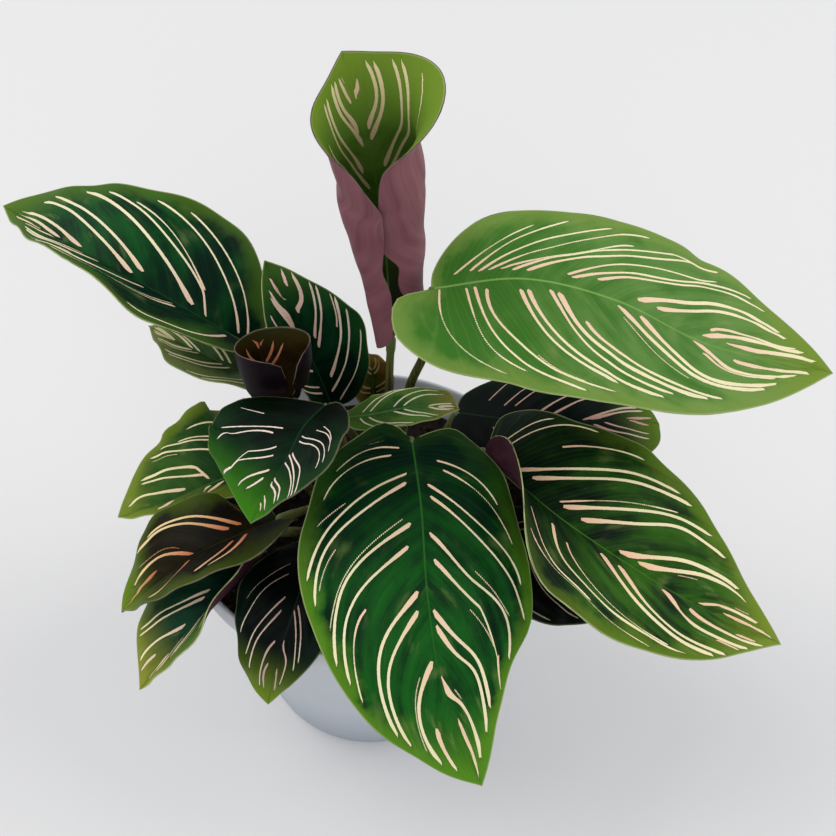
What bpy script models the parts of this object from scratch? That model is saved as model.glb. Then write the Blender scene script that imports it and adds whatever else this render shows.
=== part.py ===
"""Pinstripe calathea in a round nursery pot, as separate solids.

Metres, +Z up. The origin is the centre of the pot's base. The plant's front is towards -Y.
Each leaf is one solid: a thin blade and the petiole that carries it down into the potting mix.
"""
import math

import bpy
import numpy as np

MM = 0.001

# Pot, millimetres
RIM_RADIUS = 65.0
BASE_RADIUS = 43.0
POT_HEIGHT = 100.0
BAND_HEIGHT = 9.0
BAND_STEP = 2.2
WALL = 1.6
FLOOR = 2.0
EDGE = 0.8
POT_SEGMENTS = 60

# Potting mix, millimetres
MIX_TOP = 88.0
MIX_DOME = 1.0
SEAT_GAP = 0.3

# Leaves, millimetres
BLADE_THICKNESS = 0.8
FOOT_RADIUS = 1.9
NECK_RADIUS = 1.3
RIB_TIP_RADIUS = 0.3
RIB_SHARE = 0.25
PETIOLE_SIDES = 8
HOLE_SIDES = 12
HOLE_RADIUS = 2.35
HOLE_BOTTOM = 68.0
VEIN_SWEEP = 0.85

# One entry per leaf, in millimetres and degrees.
#   foot:    place of the petiole's foot in the potting mix
#   petiole: points above the mix on the way to the blade
#   midrib:  points from the blade's base to its tip
#   face:    way that the upper side looks, from base to tip
#   fold:    rise of the left and right half at the midrib, from base to tip
#   curl:    turn of each half on its way out to the margin, from base to tip
#   wave:    height and count of the margin's waves, and the phase of each side
#   left, right: margin points, along the midrib and out from it, the tip being forward
#   tone:    green or brown of the upper side
LEAVES = {
    "leaf_left_large": {
        "foot": (-8, 8),
        "petiole": [(-16, 16, 108), (-28, 25, 133)],
        "midrib": [(-39, 29, 149), (-52, 26, 163), (-70, 29, 175),
                   (-92, 41, 179), (-132, 82, 168)],
        "face": [(-0.1, 0.0, 1), (-0.1, 0.0, 1)],
        "fold": ([12, 25, 40, 25, 5], [28, 28, 20]),
        "curl": ([10], [-10]),
        "calm": 0.35,
        "wave": (0.6, 3, 0.0, 2.0),
        "left": [(0, 5), (12, 11), (32, 21), (52, 20), (70, 14), (94, 8), (112, 4)],
        "right": [(-2, 7), (2, 14), (8, 22), (16, 29), (24, 33), (33, 34), (41, 34),
                  (53, 32), (66, 29), (86, 23), (107, 15), (117, 8)],
        "tone": "deep",
    },
    "leaf_tall_rolled": {
        "foot": (6, 20),
        "petiole": [(8, 26, 110), (9, 27, 138)],
        "midrib": [(10, 26, 156), (8, 32, 196), (5, 28, 227), (3, 22, 242), (-1, 16, 267)],
        "face": [(0.5, -1, 0.1), (0.2, -1, 0.25), (0.28, -1, 0.5)],
        "fold": ([0], [0]),
        "curl": ([266, 213, 185, 164, 169, 105], [320, 300, 237, 207, 208, 82]),
        "wave": (0.0, 3, 0.0, 2.0),
        "left": [(1, 9), (8, 20), (18, 25), (30, 28), (47, 32), (69, 38), (88, 32), (103, 21), (108, 7)],
        "right": [(1, 7), (8, 17), (18, 23), (30, 29), (42, 33), (58, 41), (81, 44), (106, 30), (111, 8)],
        "tone": "olive",
    },
    "leaf_right_large": {
        "foot": (8, 8),
        "petiole": [(13, 21, 112), (16, 27, 130), (21, 21, 152), (23, 12, 176)],
        "midrib": [(23, 6, 194), (51, 7, 197), (80, 6, 189), (109, 3, 174), (156, 10, 154)],
        "face": [(0.0, -0.2, 1), (0.15, -0.2, 1), (0.1, -0.2, 1)],
        "fold": ([6], [-4]),
        "curl": ([-6], [-16]),
        "wave": (0.6, 3, 0.0, 2.0),
        "left": [(1, 6), (7, 15), (16, 22), (32, 27), (54, 30),
                 (78, 33), (98, 33), (112, 28), (124, 20), (135, 9)],
        "right": [(-11, 3), (-12, 14), (-8, 20), (-2, 25), (8, 30), (22, 34),
                  (38, 36), (58, 34), (79, 29), (95, 23), (115, 15), (131, 7)],
        "tone": "light",
    },
    "leaf_center_upright": {
        "foot": (-4, 14),
        "petiole": [(-8, 26, 96)],
        "midrib": [(-13, 35, 112), (-17, 32, 134), (-22, 30, 154), (-26, 30, 169), (-31, 33, 183)],
        "face": [(0.3, -0.9, 0.4)],
        "fold": ([20], [15]),
        "curl": ([20], [-10]),
        "wave": (0.4, 3, 0.0, 2.0),
        "left": [(0, 3), (5, 6), (16, 8), (34, 10), (50, 11), (62, 8)],
        "right": [(0, 6), (5, 12), (14, 17), (26, 20), (38, 22), (49, 19), (59, 13), (67, 7)],
        "tone": "deep",
    },
    "leaf_left_under": {
        "foot": (-14, 12),
        "petiole": [(-17, 15, 95)],
        "midrib": [(-36, 35, 124), (-45, 28, 138), (-58, 29, 146), (-77, 44, 144)],
        "face": [(-0.1, 0.1, 1)],
        "fold": ([5], [60]),
        "curl": ([0], [0]),
        "wave": (0.4, 3, 0.0, 2.0),
        "left": [(0, 5), (7, 11), (18, 13), (36, 11), (43, 7), (51, 4)],
        "right": [(0, 5), (7, 10), (18, 12), (30, 12), (42, 8), (51, 4)],
        "tone": "grey_green",
    },
    "leaf_furled_cup": {
        "foot": (-3, 4),
        "petiole": [(-10, 6, 105), (-22, 7, 125)],
        "midrib": [(-31, 9, 140), (-32, 12, 149), (-33, 15, 158), (-34, 18, 166)],
        "face": [(0.55, -0.8, 0.5)],
        "fold": ([0], [0]),
        "curl": ([430, 250, 188, 166, 160], [430, 250, 188, 166, 160]),
        "wave": (0.0, 3, 0.0, 2.0),
        "left": [(1, 5), (4, 13), (9, 24), (14, 31), (19, 34), (23, 34), (26, 26), (27, 13)],
        "right": [(1, 5), (4, 13), (9, 24), (14, 31), (19, 34), (23, 34), (26, 26), (27, 13)],
        "tone": "brown",
    },
    "leaf_dark_round": {
        "foot": (-6, -1),
        "petiole": [(-9, -9, 105), (-9, -12, 138)],
        "midrib": [(-10, -10, 160), (-16, -25, 165), (-20, -35, 163),
                   (-26, -43, 157), (-31, -47, 147)],
        "face": [(-0.05, -0.35, 1)],
        "fold": ([22], [-5]),
        "curl": ([0], [-10]),
        "wave": (0.6, 3, 0.0, 2.0),
        "left": [(-1, 4), (4, 9), (11, 13), (19, 16), (27, 15), (35, 10), (43, 5)],
        "right": [(1, 6), (3, 15), (6, 22), (14, 27), (27, 29), (37, 27), (44, 21), (48, 11)],
        "tone": "black_green",
    },
    "leaf_left_pale": {
        "foot": (-16, 4),
        "petiole": [(-20, 5, 100)],
        "midrib": [(-32, 6, 118), (-41, -1, 118), (-53, -6, 116), (-68, -9, 110), (-87, -8, 100)],
        "face": [(-0.2, -0.3, 1)],
        "fold": ([5], [5]),
        "curl": ([-10], [-20]),
        "wave": (0.6, 3, 0.0, 2.0),
        "left": [(0, 5), (7, 9), (18, 8), (32, 5), (46, 3), (56, 2)],
        "right": [(0, 20), (5, 31), (14, 35), (26, 33), (41, 27), (54, 19), (60, 7)],
        "tone": "yellow_green",
    },
    "leaf_left_bronze": {
        "foot": (-12, -6),
        "petiole": [(-16, -12, 110)],
        "midrib": [(-28, -22, 117), (-37, -32, 123), (-54, -39, 119),
                   (-67, -43, 109), (-81, -43, 93)],
        "face": [(-0.3, -0.4, 1)],
        "fold": ([35], [5]),
        "curl": ([0], [-20]),
        "wave": (0.6, 3, 0.0, 2.0),
        "left": [(0, 6), (6, 12), (16, 15), (30, 15), (44, 10), (60, 5)],
        "right": [(-1, 6), (5, 12), (16, 17), (30, 21), (41, 22), (52, 18), (61, 12), (67, 6)],
        "tone": "brown",
    },
    "leaf_left_low": {
        "foot": (-12, -15),
        "petiole": [(-16, -15, 100)],
        "midrib": [(-30, -19, 106), (-40, -39, 108), (-52, -51, 102),
                   (-64, -58, 90), (-75, -62, 75)],
        "face": [(-0.3, -0.4, 1)],
        "fold": ([88, 70, 40, 20], [5]),
        "curl": ([0], [-20]),
        "wave": (0.4, 3, 0.0, 2.0),
        "left": [(0, 4), (6, 9), (18, 13), (33, 14), (48, 10), (62, 5)],
        "right": [(0, 6), (6, 14), (18, 20), (35, 22), (52, 21), (63, 18), (70, 11)],
        "tone": "teal",
    },
    "leaf_front_dark": {
        "foot": (-6, -14),
        "petiole": [(-9, -18, 98)],
        "midrib": [(-15, -26, 108), (-19, -47, 112), (-23, -61, 108),
                   (-27, -68, 97), (-30, -71, 82)],
        "face": [(-0.1, -0.5, 1)],
        "fold": ([5], [5]),
        "curl": ([-20], [-20]),
        "wave": (0.4, 3, 0.0, 2.0),
        "left": [(0, 5), (5, 11), (15, 15), (28, 15), (43, 11), (54, 6)],
        "right": [(0, 6), (5, 13), (15, 19), (28, 20), (40, 17), (51, 13), (61, 7)],
        "tone": "black_green",
    },
    "leaf_front_large": {
        "foot": (4, -4),
        "petiole": [(8, 1, 104), (13, -1, 128)],
        "midrib": [(17, -7, 140), (20, -33, 137), (22, -56, 122), (27, -76, 98), (40, -91, 64)],
        "face": [(0.05, -0.4, 1), (0, -0.6, 1), (0, -0.9, 0.6)],
        "fold": ([8], [8]),
        "curl": ([-35], [-14]),
        "wave": (0.6, 3, 0.0, 2.0),
        "left": [(-2, 6), (-3, 14), (2, 20), (12, 27), (24, 30), (42, 33),
                 (60, 34), (72, 31), (84, 23), (97, 16), (112, 8)],
        "right": [(-5, 4), (-7, 9), (-2, 18), (7, 29), (22, 35), (37, 39),
                  (50, 39), (66, 35), (83, 28), (100, 18), (114, 10)],
        "tone": "deep",
    },
    "leaf_right_front": {
        "foot": (12, -6),
        "petiole": [(20, -4, 104), (34, 0, 122)],
        "midrib": [(42, -3, 130), (48, -16, 134), (61, -30, 132),
                   (79, -40, 124), (107, -47, 106), (145, -45, 76)],
        "face": [(0.1, -0.3, 1), (0.3, -0.5, 1)],
        "fold": ([5], [100, 30, 12, 14]),
        "curl": ([-10], [-8]),
        "calm": 0.3,
        "wave": (0.6, 3, 0.0, 2.0),
        "left": [(-3, 7), (-4, 12), (-1, 17), (5, 22), (15, 27), (25, 31), (35, 36), (45, 38), (54, 39),
                 (62, 38), (75, 36), (87, 33), (99, 26), (110, 19), (121, 12), (131, 5)],
        "right": [(-2, 5), (0, 11), (8, 18), (20, 23), (31, 28),
                  (45, 32), (62, 30), (80, 24), (100, 17), (118, 9)],
        "tone": "deep",
    },
    "leaf_right_back": {
        "foot": (16, 8),
        "petiole": [(22, 15, 99)],
        "midrib": [(33, 26, 118), (53, 18, 123), (73, 15, 125), (94, 20, 121), (106, 22, 116)],
        "face": [(0.0, -0.2, 1)],
        "fold": ([5], [5]),
        "curl": ([-15], [-15]),
        "wave": (0.4, 3, 0.0, 2.0),
        "left": [(0, 7), (8, 16), (22, 21), (40, 22), (56, 17), (66, 11), (75, 5)],
        "right": [(0, 7), (8, 15), (22, 20), (40, 22), (58, 19), (70, 14), (76, 8)],
        "tone": "black_green",
    },
    "leaf_right_shade": {
        "foot": (8, -12),
        "petiole": [(12, -13, 100), (24, -14, 110)],
        "midrib": [(40, -18, 112), (56, -33, 112), (72, -36, 102), (86, -34, 86)],
        "face": [(0.1, -0.3, 1)],
        "fold": ([5], [5]),
        "curl": ([-15], [-15]),
        "wave": (0.4, 3, 0.0, 2.0),
        "left": [(0, 6), (6, 12), (17, 17), (33, 18), (48, 14), (59, 8)],
        "right": [(0, 6), (6, 12), (17, 17), (33, 19), (46, 14), (58, 7)],
        "tone": "black_green",
    },
    "leaf_center_small": {
        "foot": (3, 13),
        "petiole": [(2, 14, 100)],
        "midrib": [(-7, 16, 126), (3, 10, 134), (18, 10, 138), (33, 9, 138)],
        "face": [(0, -0.3, 1)],
        "fold": ([5], [10]),
        "curl": ([0], [-10]),
        "wave": (0.3, 2, 0.0, 2.0),
        "left": [(0, 2), (4, 4), (11, 7), (24, 7), (32, 7), (41, 6)],
        "right": [(0, 2), (5, 4), (12, 6), (25, 7), (33, 6), (41, 3)],
        "tone": "grey_green",
    },
    "leaf_back_small": {
        "foot": (-3, 23),
        "petiole": [(-1, 35, 94)],
        "midrib": [(2, 45, 103), (2, 44, 115), (2, 42, 127), (1, 40, 135)],
        "face": [(0.2, -1, 0.3)],
        "fold": ([20], [10]),
        "curl": ([20], [10]),
        "wave": (0.2, 2, 0.0, 2.0),
        "left": [(0, 3), (4, 6), (12, 8), (22, 7), (29, 3)],
        "right": [(0, 3), (4, 6), (12, 8), (22, 7), (29, 3)],
        "tone": "olive",
    },
}

# Rows of the blade's mesh along the midrib, and columns across each half
LARGE_MESH = (14, 5)
SMALL_MESH = (10, 4)
LARGE_LENGTH = 90.0

POT_COLOUR = (0.45, 0.50, 0.55)
MIX_COLOUR = (0.05, 0.035, 0.025)
LEAF_COLOURS = {
    "deep": (0.016, 0.095, 0.026),
    "light": (0.085, 0.26, 0.055),
    "olive": (0.07, 0.15, 0.03),
    "grey_green": (0.07, 0.13, 0.06),
    "yellow_green": (0.09, 0.17, 0.03),
    "teal": (0.025, 0.09, 0.05),
    "black_green": (0.006, 0.025, 0.012),
    "brown": (0.04, 0.027, 0.008),
}
POT_ROUGHNESS = 0.45
MIX_ROUGHNESS = 0.95
LEAF_ROUGHNESS = 0.4


def clear_scene():
    for item in list(bpy.data.objects):
        bpy.data.objects.remove(item, do_unlink=True)


def material(name, colour, roughness):
    made = bpy.data.materials.new(name)
    made.use_nodes = True
    shader = made.node_tree.nodes["Principled BSDF"]
    shader.inputs["Base Color"].default_value = (*colour, 1.0)
    shader.inputs["Roughness"].default_value = roughness
    shader.inputs["Metallic"].default_value = 0.0
    return made


def add_object(name, verts, faces, finish):
    """A mesh object from points in millimetres, shaded smooth."""
    mesh = bpy.data.meshes.new(name)
    mesh.from_pydata([tuple(float(c) * MM for c in point) for point in verts], [], faces)
    mesh.validate()
    mesh.update()
    mesh.materials.append(finish)
    mesh.shade_smooth()
    mesh.set_sharp_from_angle(angle=math.radians(40))
    made = bpy.data.objects.new(name, mesh)
    bpy.context.collection.objects.link(made)
    return made


def hide_guide(guide):
    guide.hide_render = True
    guide.display_type = "WIRE"


# Turned pieces

def turned(name, profile, segments, finish):
    """A solid turned about Z from a profile that starts and ends on the axis, bottom first."""
    verts = [(0.0, 0.0, profile[0][1])]
    for radius, height in profile[1:-1]:
        for k in range(segments):
            angle = 2 * math.pi * k / segments
            verts.append((radius * math.cos(angle), radius * math.sin(angle), height))
    verts.append((0.0, 0.0, profile[-1][1]))
    last = len(verts) - 1
    rings = len(profile) - 2
    faces = []
    for k in range(segments):
        after = (k + 1) % segments
        faces.append((0, 1 + after, 1 + k))
        for ring in range(rings - 1):
            low = 1 + ring * segments
            high = low + segments
            faces.append((low + k, low + after, high + after, high + k))
        top = 1 + (rings - 1) * segments
        faces.append((top + k, top + after, last))
    return add_object(name, verts, faces, finish)


def inner_radius(height):
    """Radius of the pot's inner wall at a height above its floor."""
    share = (height - FLOOR) / (POT_HEIGHT - BAND_HEIGHT - FLOOR)
    return BASE_RADIUS - WALL + share * (RIM_RADIUS - BAND_STEP - BASE_RADIUS)


def make_pot(finish):
    band = POT_HEIGHT - BAND_HEIGHT
    profile = [
        (0.0, 0.0),
        (BASE_RADIUS - 2 * EDGE, 0.0),
        (BASE_RADIUS - EDGE, 0.3 * EDGE),
        (BASE_RADIUS, 1.5 * EDGE),
        (RIM_RADIUS - BAND_STEP, band - EDGE),
        (RIM_RADIUS - EDGE, band),
        (RIM_RADIUS, band + EDGE),
        (RIM_RADIUS, POT_HEIGHT - EDGE),
        (RIM_RADIUS - EDGE / 2, POT_HEIGHT),
        (RIM_RADIUS - WALL, POT_HEIGHT),
        (RIM_RADIUS - WALL - EDGE / 2, POT_HEIGHT - EDGE),
        (inner_radius(band), band),
        (inner_radius(FLOOR), FLOOR),
        (0.0, FLOOR),
    ]
    return turned("pot", profile, POT_SEGMENTS, finish)


def make_mix(finish):
    """The potting mix, with one plain hole for each petiole."""
    low = FLOOR + SEAT_GAP
    edge = MIX_TOP - 1.0
    gap = SEAT_GAP + 0.1
    profile = [
        (0.0, low),
        (inner_radius(low) - gap, low),
        (inner_radius(edge) - gap, edge),
        (0.85 * inner_radius(edge), MIX_TOP),
        (0.0, MIX_TOP + MIX_DOME),
    ]
    mix = turned("potting_mix", profile, POT_SEGMENTS, finish)
    verts = []
    faces = []
    for leaf in LEAVES.values():
        x, y = leaf["foot"]
        start = len(verts)
        for height in (HOLE_BOTTOM, MIX_TOP + 10.0):
            for k in range(HOLE_SIDES):
                angle = 2 * math.pi * (k + 0.5) / HOLE_SIDES
                verts.append((x + HOLE_RADIUS * math.cos(angle), y + HOLE_RADIUS * math.sin(angle), height))
        faces.append([start + k for k in reversed(range(HOLE_SIDES))])
        faces.append([start + HOLE_SIDES + k for k in range(HOLE_SIDES)])
        for k in range(HOLE_SIDES):
            after = (k + 1) % HOLE_SIDES
            faces.append((start + k, start + after, start + HOLE_SIDES + after, start + HOLE_SIDES + k))
    holes = add_object("petiole_holes", verts, faces, finish)
    hide_guide(holes)
    cut = mix.modifiers.new("petiole holes", "BOOLEAN")
    cut.operation = "DIFFERENCE"
    cut.object = holes
    return mix


# Leaf geometry

def unit(vectors):
    return vectors / np.maximum(np.linalg.norm(vectors, axis=-1, keepdims=True), 1e-9)


def smooth_line(points, count):
    """A centripetal Catmull-Rom line through the points, sampled at even lengths."""
    points = np.asarray(points, float)
    points = np.vstack([2 * points[0] - points[1], points, 2 * points[-1] - points[-2]])
    dense = []
    for a, b, c, d in zip(points, points[1:], points[2:], points[3:]):
        t1 = max(np.linalg.norm(b - a), 1e-6) ** 0.5
        t2 = t1 + max(np.linalg.norm(c - b), 1e-6) ** 0.5
        t3 = t2 + max(np.linalg.norm(d - c), 1e-6) ** 0.5
        t = np.linspace(t1, t2, 24)[:, None]
        ab = ((t1 - t) * a + t * b) / t1
        bc = ((t2 - t) * b + (t - t1) * c) / (t2 - t1)
        cd = ((t3 - t) * c + (t - t2) * d) / (t3 - t2)
        abc = ((t2 - t) * ab + t * bc) / t2
        bcd = ((t3 - t) * bc + (t - t1) * cd) / (t3 - t1)
        dense.append((((t2 - t) * abc + (t - t1) * bcd) / (t2 - t1))[:-1])
    dense = np.vstack(dense + [points[-2:-1]])
    run = np.concatenate([[0], np.cumsum(np.linalg.norm(np.diff(dense, axis=0), axis=1))])
    at = np.linspace(0, run[-1], count)
    return np.stack([np.interp(at, run, dense[:, k]) for k in range(dense.shape[1])], 1)


def keyed(values, share):
    """Values spaced evenly from base to tip, eased in between."""
    values = np.atleast_1d(np.asarray(values, float))
    share = np.clip(share, 0, 1)
    if len(values) == 1:
        return np.full_like(share, values[0], dtype=float)
    place = share * (len(values) - 1)
    low = np.minimum(place.astype(int), len(values) - 2)
    part = place - low
    part = part * part * (3 - 2 * part)
    return values[low] + (values[low + 1] - values[low]) * part


class Blade:
    """The middle surface of one leaf blade, as a place for each distance along and out."""

    def __init__(self, leaf, count=121):
        self.leaf = leaf
        self.line = smooth_line(leaf["midrib"], count)
        self.length = np.linalg.norm(np.diff(self.line, axis=0), axis=1).sum()
        self.along = unit(np.gradient(self.line, axis=0))
        share = np.linspace(0, 1, count)
        face = np.asarray(leaf["face"], float)
        up = np.stack([keyed(face[:, k], share) for k in range(3)], 1)
        self.up = unit(up - self.along * (up * self.along).sum(1, keepdims=True))
        self.right = unit(np.cross(self.along, self.up))
        if "calm" in leaf:
            # the base keeps the lie of the blade further on, so that its lobe doesn't crease
            held = share + leaf["calm"] + np.sqrt((share - leaf["calm"]) ** 2 + 0.0064)
            held = np.minimum(held / 2, 1.0)
            self.up = unit(np.stack([np.interp(held, share, self.up[:, k]) for k in range(3)], 1))
            self.right = unit(np.stack([np.interp(held, share, self.right[:, k]) for k in range(3)], 1))
        tip = (self.length, 0.0)
        self.margin = {side: smooth_line([(0.0, 0.0), *leaf[side], tip], 161) for side in ("left", "right")}
        self.width = {side: float(max(point[1] for point in leaf[side])) for side in ("left", "right")}

    def frame(self, along):
        """Midrib point and its three directions, going on straight past both ends."""
        share = np.clip(along / self.length, 0, 1)
        place = share * (len(self.line) - 1)
        low = np.minimum(place.astype(int), len(self.line) - 2)
        part = (place - low)[..., None]
        mix = [(data[low] * (1 - part) + data[low + 1] * part)
               for data in (self.line, self.along, self.up, self.right)]
        forward = unit(mix[1])
        past = (along - share * self.length)[..., None]
        return mix[0] + forward * past, forward, unit(mix[2]), unit(mix[3])

    def point(self, along, out):
        """Place on the blade; out is below zero on the left half."""
        leaf = self.leaf
        right = out >= 0
        share = np.clip(along / self.length, 0, 1)
        width = np.where(right, self.width["right"], self.width["left"])
        fold = np.radians(np.where(right, keyed(leaf["fold"][1], share), keyed(leaf["fold"][0], share)))
        turn = np.radians(np.where(right, keyed(leaf["curl"][1], share), keyed(leaf["curl"][0], share)))
        turn = turn / width
        turn = np.where(np.abs(turn) < 1e-5, 1e-5, turn)
        reach = np.abs(out)
        angle = fold + turn * reach
        across = (np.sin(angle) - np.sin(fold)) / turn
        rise = (np.cos(fold) - np.cos(angle)) / turn
        height, count, left_phase, right_phase = leaf["wave"]
        phase = np.where(right, right_phase, left_phase)
        lift = height * (reach / width) ** 2 * np.sin(2 * math.pi * count * share + phase)
        lift = lift * np.clip(6 * share, 0, 1)
        across = across - lift * np.sin(angle)
        rise = rise + lift * np.cos(angle)
        middle, forward, up, side = self.frame(along)
        sign = np.where(right, 1.0, -1.0)
        return middle + side * (sign * across)[..., None] + up * rise[..., None]

    def rows(self, rows, columns):
        """Rows of points that run forward from the midrib to the margin, as the veins do."""
        lines = []
        for k in range(1, rows):
            start = (k / rows) ** 1.35
            end = start + VEIN_SWEEP * start * (1 - start)
            along = []
            out = []
            for j in range(-columns, columns + 1):
                share = abs(j) / columns
                edge = self.margin["left" if j < 0 else "right"]
                place = min(end * 160, 159.999)
                low = int(place)
                spot = edge[low] + (edge[low + 1] - edge[low]) * (place - low)
                along.append(start * self.length + (spot[0] - start * self.length) * share ** 1.5)
                out.append(math.copysign(max(spot[1], 0.0) * share, j) if j else 0.0)
            lines.append(self.point(np.array(along), np.array(out)))
        return lines


def blade_sheet(name, leaf, finish):
    """The blade as a sheet of triangles, given its thickness by Solidify."""
    blade = Blade(leaf)
    rows, columns = LARGE_MESH if blade.length > LARGE_LENGTH else SMALL_MESH
    lines = blade.rows(rows, columns)
    across = 2 * columns + 1
    verts = [blade.line[0]]
    for line in lines:
        verts.extend(line)
    verts.append(blade.line[-1])
    last = len(verts) - 1
    faces = []
    for j in range(across - 1):
        faces.append((0, 1 + j + 1, 1 + j))
        top = 1 + (rows - 2) * across + j
        faces.append((last, top, top + 1))
    for i in range(rows - 2):
        for j in range(across - 1):
            a = 1 + i * across + j
            b = a + 1
            c = a + across
            d = c + 1
            if j < columns:
                faces.extend([(a, b, c), (b, d, c)])
            else:
                faces.extend([(a, b, d), (a, d, c)])
    sheet = add_object(name, verts, faces, finish)
    thick = sheet.modifiers.new("thickness", "SOLIDIFY")
    thick.thickness = BLADE_THICKNESS * MM
    thick.offset = 0.0
    return sheet, blade


def petiole_path(leaf, blade):
    """Centre line and radius from the foot in the mix to a point along the midrib."""
    x, y = leaf["foot"]
    rise = [(x, y, MIX_TOP + 2.5), *leaf["petiole"], leaf["midrib"][0]]
    curve = smooth_line(rise, max(6, 2 * len(rise)))
    low = np.array([(x, y, HOLE_BOTTOM + SEAT_GAP)])
    reach = RIB_SHARE * blade.length
    rib_along = np.linspace(0, reach, 5)[1:]
    middle, forward, up, side = blade.frame(rib_along)
    sink = np.linspace(0.6, 0.0, 4)[:, None]
    path = np.vstack([low, curve[:-1], curve[-1:] - 0.5 * blade.up[0], middle - up * sink])
    stem = np.linspace(FOOT_RADIUS, NECK_RADIUS, len(curve))
    rib = np.linspace(NECK_RADIUS, RIB_TIP_RADIUS, 5)[1:]
    return path, np.concatenate([[FOOT_RADIUS], stem, rib])


def tube(name, path, radii, sides, finish):
    """A closed tube whose rings turn with the path and never twist."""
    forward = unit(np.gradient(path, axis=0))
    side = np.array([1.0, 0.0, 0.0])
    verts = []
    for point, way, radius in zip(path, forward, radii):
        side = side - way * side.dot(way)
        side = side / np.linalg.norm(side)
        other = np.cross(way, side)
        for k in range(sides):
            angle = 2 * math.pi * k / sides
            verts.append(point + radius * (math.cos(angle) * side + math.sin(angle) * other))
    faces = [tuple(reversed(range(sides)))]
    for ring in range(len(path) - 1):
        for k in range(sides):
            after = (k + 1) % sides
            low = ring * sides
            faces.append((low + k, low + after, low + sides + after, low + sides + k))
    top = (len(path) - 1) * sides
    faces.append(tuple(top + k for k in range(sides)))
    return add_object(name, verts, faces, finish)


def make_leaf(name, leaf, finish):
    sheet, blade = blade_sheet(name, leaf, finish)
    path, radii = petiole_path(leaf, blade)
    petiole = tube(name + "_petiole", path, radii, PETIOLE_SIDES, finish)
    hide_guide(petiole)
    join = sheet.modifiers.new("petiole", "BOOLEAN")
    join.operation = "UNION"
    join.object = petiole
    return sheet


def main():
    clear_scene()
    make_pot(material("pot plastic", POT_COLOUR, POT_ROUGHNESS))
    make_mix(material("potting mix", MIX_COLOUR, MIX_ROUGHNESS))
    for name, leaf in LEAVES.items():
        make_leaf(name, leaf, material(name, LEAF_COLOURS[leaf["tone"]], LEAF_ROUGHNESS))


main()
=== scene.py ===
"""Looks for the pinstripe calathea in its pot.

Metres, +Z up, front towards -Y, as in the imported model.
"""
import math
import random

import bpy
import numpy as np
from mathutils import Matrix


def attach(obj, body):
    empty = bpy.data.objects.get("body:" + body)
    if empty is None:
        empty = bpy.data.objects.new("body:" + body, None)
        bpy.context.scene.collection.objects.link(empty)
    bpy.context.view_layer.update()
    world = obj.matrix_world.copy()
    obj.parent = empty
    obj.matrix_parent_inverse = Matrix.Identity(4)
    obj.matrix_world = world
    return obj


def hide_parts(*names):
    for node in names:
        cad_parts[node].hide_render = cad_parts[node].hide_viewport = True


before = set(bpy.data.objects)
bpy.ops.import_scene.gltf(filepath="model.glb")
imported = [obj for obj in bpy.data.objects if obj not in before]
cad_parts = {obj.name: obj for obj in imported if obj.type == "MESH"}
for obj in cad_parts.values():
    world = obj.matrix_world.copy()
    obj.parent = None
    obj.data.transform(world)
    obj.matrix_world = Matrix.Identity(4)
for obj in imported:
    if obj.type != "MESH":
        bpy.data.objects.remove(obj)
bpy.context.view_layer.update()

MM = 0.001

# Pot, millimetres
POT_STEPS = 160          # round the pot
RIM_RADIUS = 65.0
BASE_RADIUS = 43.0
POT_HEIGHT = 100.0
BAND_HEIGHT = 9.0
BAND_STEP = 2.2
WALL = 1.6
FLOOR = 2.0

# Potting mix, millimetres
MIX_STEPS = 150          # round the mix
MIX_RINGS = 34           # from its rim to the middle
MIX_TOP = 88.0
MIX_DOME = 1.0
SEAT_GAP = 0.3
CRUMBS = 620             # places that are tried
BARK_SHARE = 0.35
PERLITE_SHARE = 0.07     # of what isn't bark

# Leaves, millimetres
BLADE_THICKNESS = 0.8
EDGE_THICKNESS = 0.4
THINNING = 2.5           # from the edge, where the blade starts to thin
RIM_BULGE = 0.14         # of the rounded margin
FOOT_RADIUS = 1.9
NECK_RADIUS = 1.3
KNEE_SWELL = 0.35
RIB_TIP_RADIUS = 0.3
RIB_SHARE = 0.25         # of the blade, that the petiole runs on under the midrib
HOLE_RADIUS = 2.35
HOLE_BOTTOM = 68.0
VEIN_SPACING = 7.0       # between the shallow folds that follow the side veins
RIPPLE = 0.18            # height of those folds
ROLLED_RIPPLE = 0.04
SWAY = 0.45              # slow lift of the outer blade
RIB_TROUGH = 0.2         # depth of the midrib above
TROUGH_WIDTH = 0.6
RIB_KEEL = 0.6           # and its height below
KEEL_WIDTH = 0.8
ROLLED = ("leaf_tall_rolled", "leaf_furled_cup")

# The mesh of a leaf. A vein start is the share of the midrib at which a side vein leaves it.
MIDRIB_POINTS = 121
MARGIN_POINTS = 161
RIM_POINTS = 1200        # of the margin, to find how far a place is from it
PETIOLE_POINTS = 40
RIB_POINTS = 15
PETIOLE_SIDES = 14
SMALL_BLADE = 60.0       # millimetres long, up to which two thirds of the columns will do
COLUMNS = 44             # from midrib to margin
ROW_STEP = 1.3           # millimetres between rows
FIRST_SHARE = 0.012      # of the way out, where the columns start
FIRST_START = 0.0015     # vein starts of the first and last row
LAST_START = 0.992
LEAST_STEP = 0.0005      # between the vein starts of two rows
STRIPE_START = 0.012     # vein starts of the first and last stripe that there may be
STRIPE_END = 0.97
STRIPE_GAP = 0.004       # between two stripes
CHANGE = 0.03            # part of a gap between stripes, where one's values give way to the next's
HAIR = 1e-6              # keeps what lies on the midrib on its own half
WELL_IN = 5.0            # millimetres from the edge, past which the blade is the same
TOP, UNDER, RIM, STALK = range(4)

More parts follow.
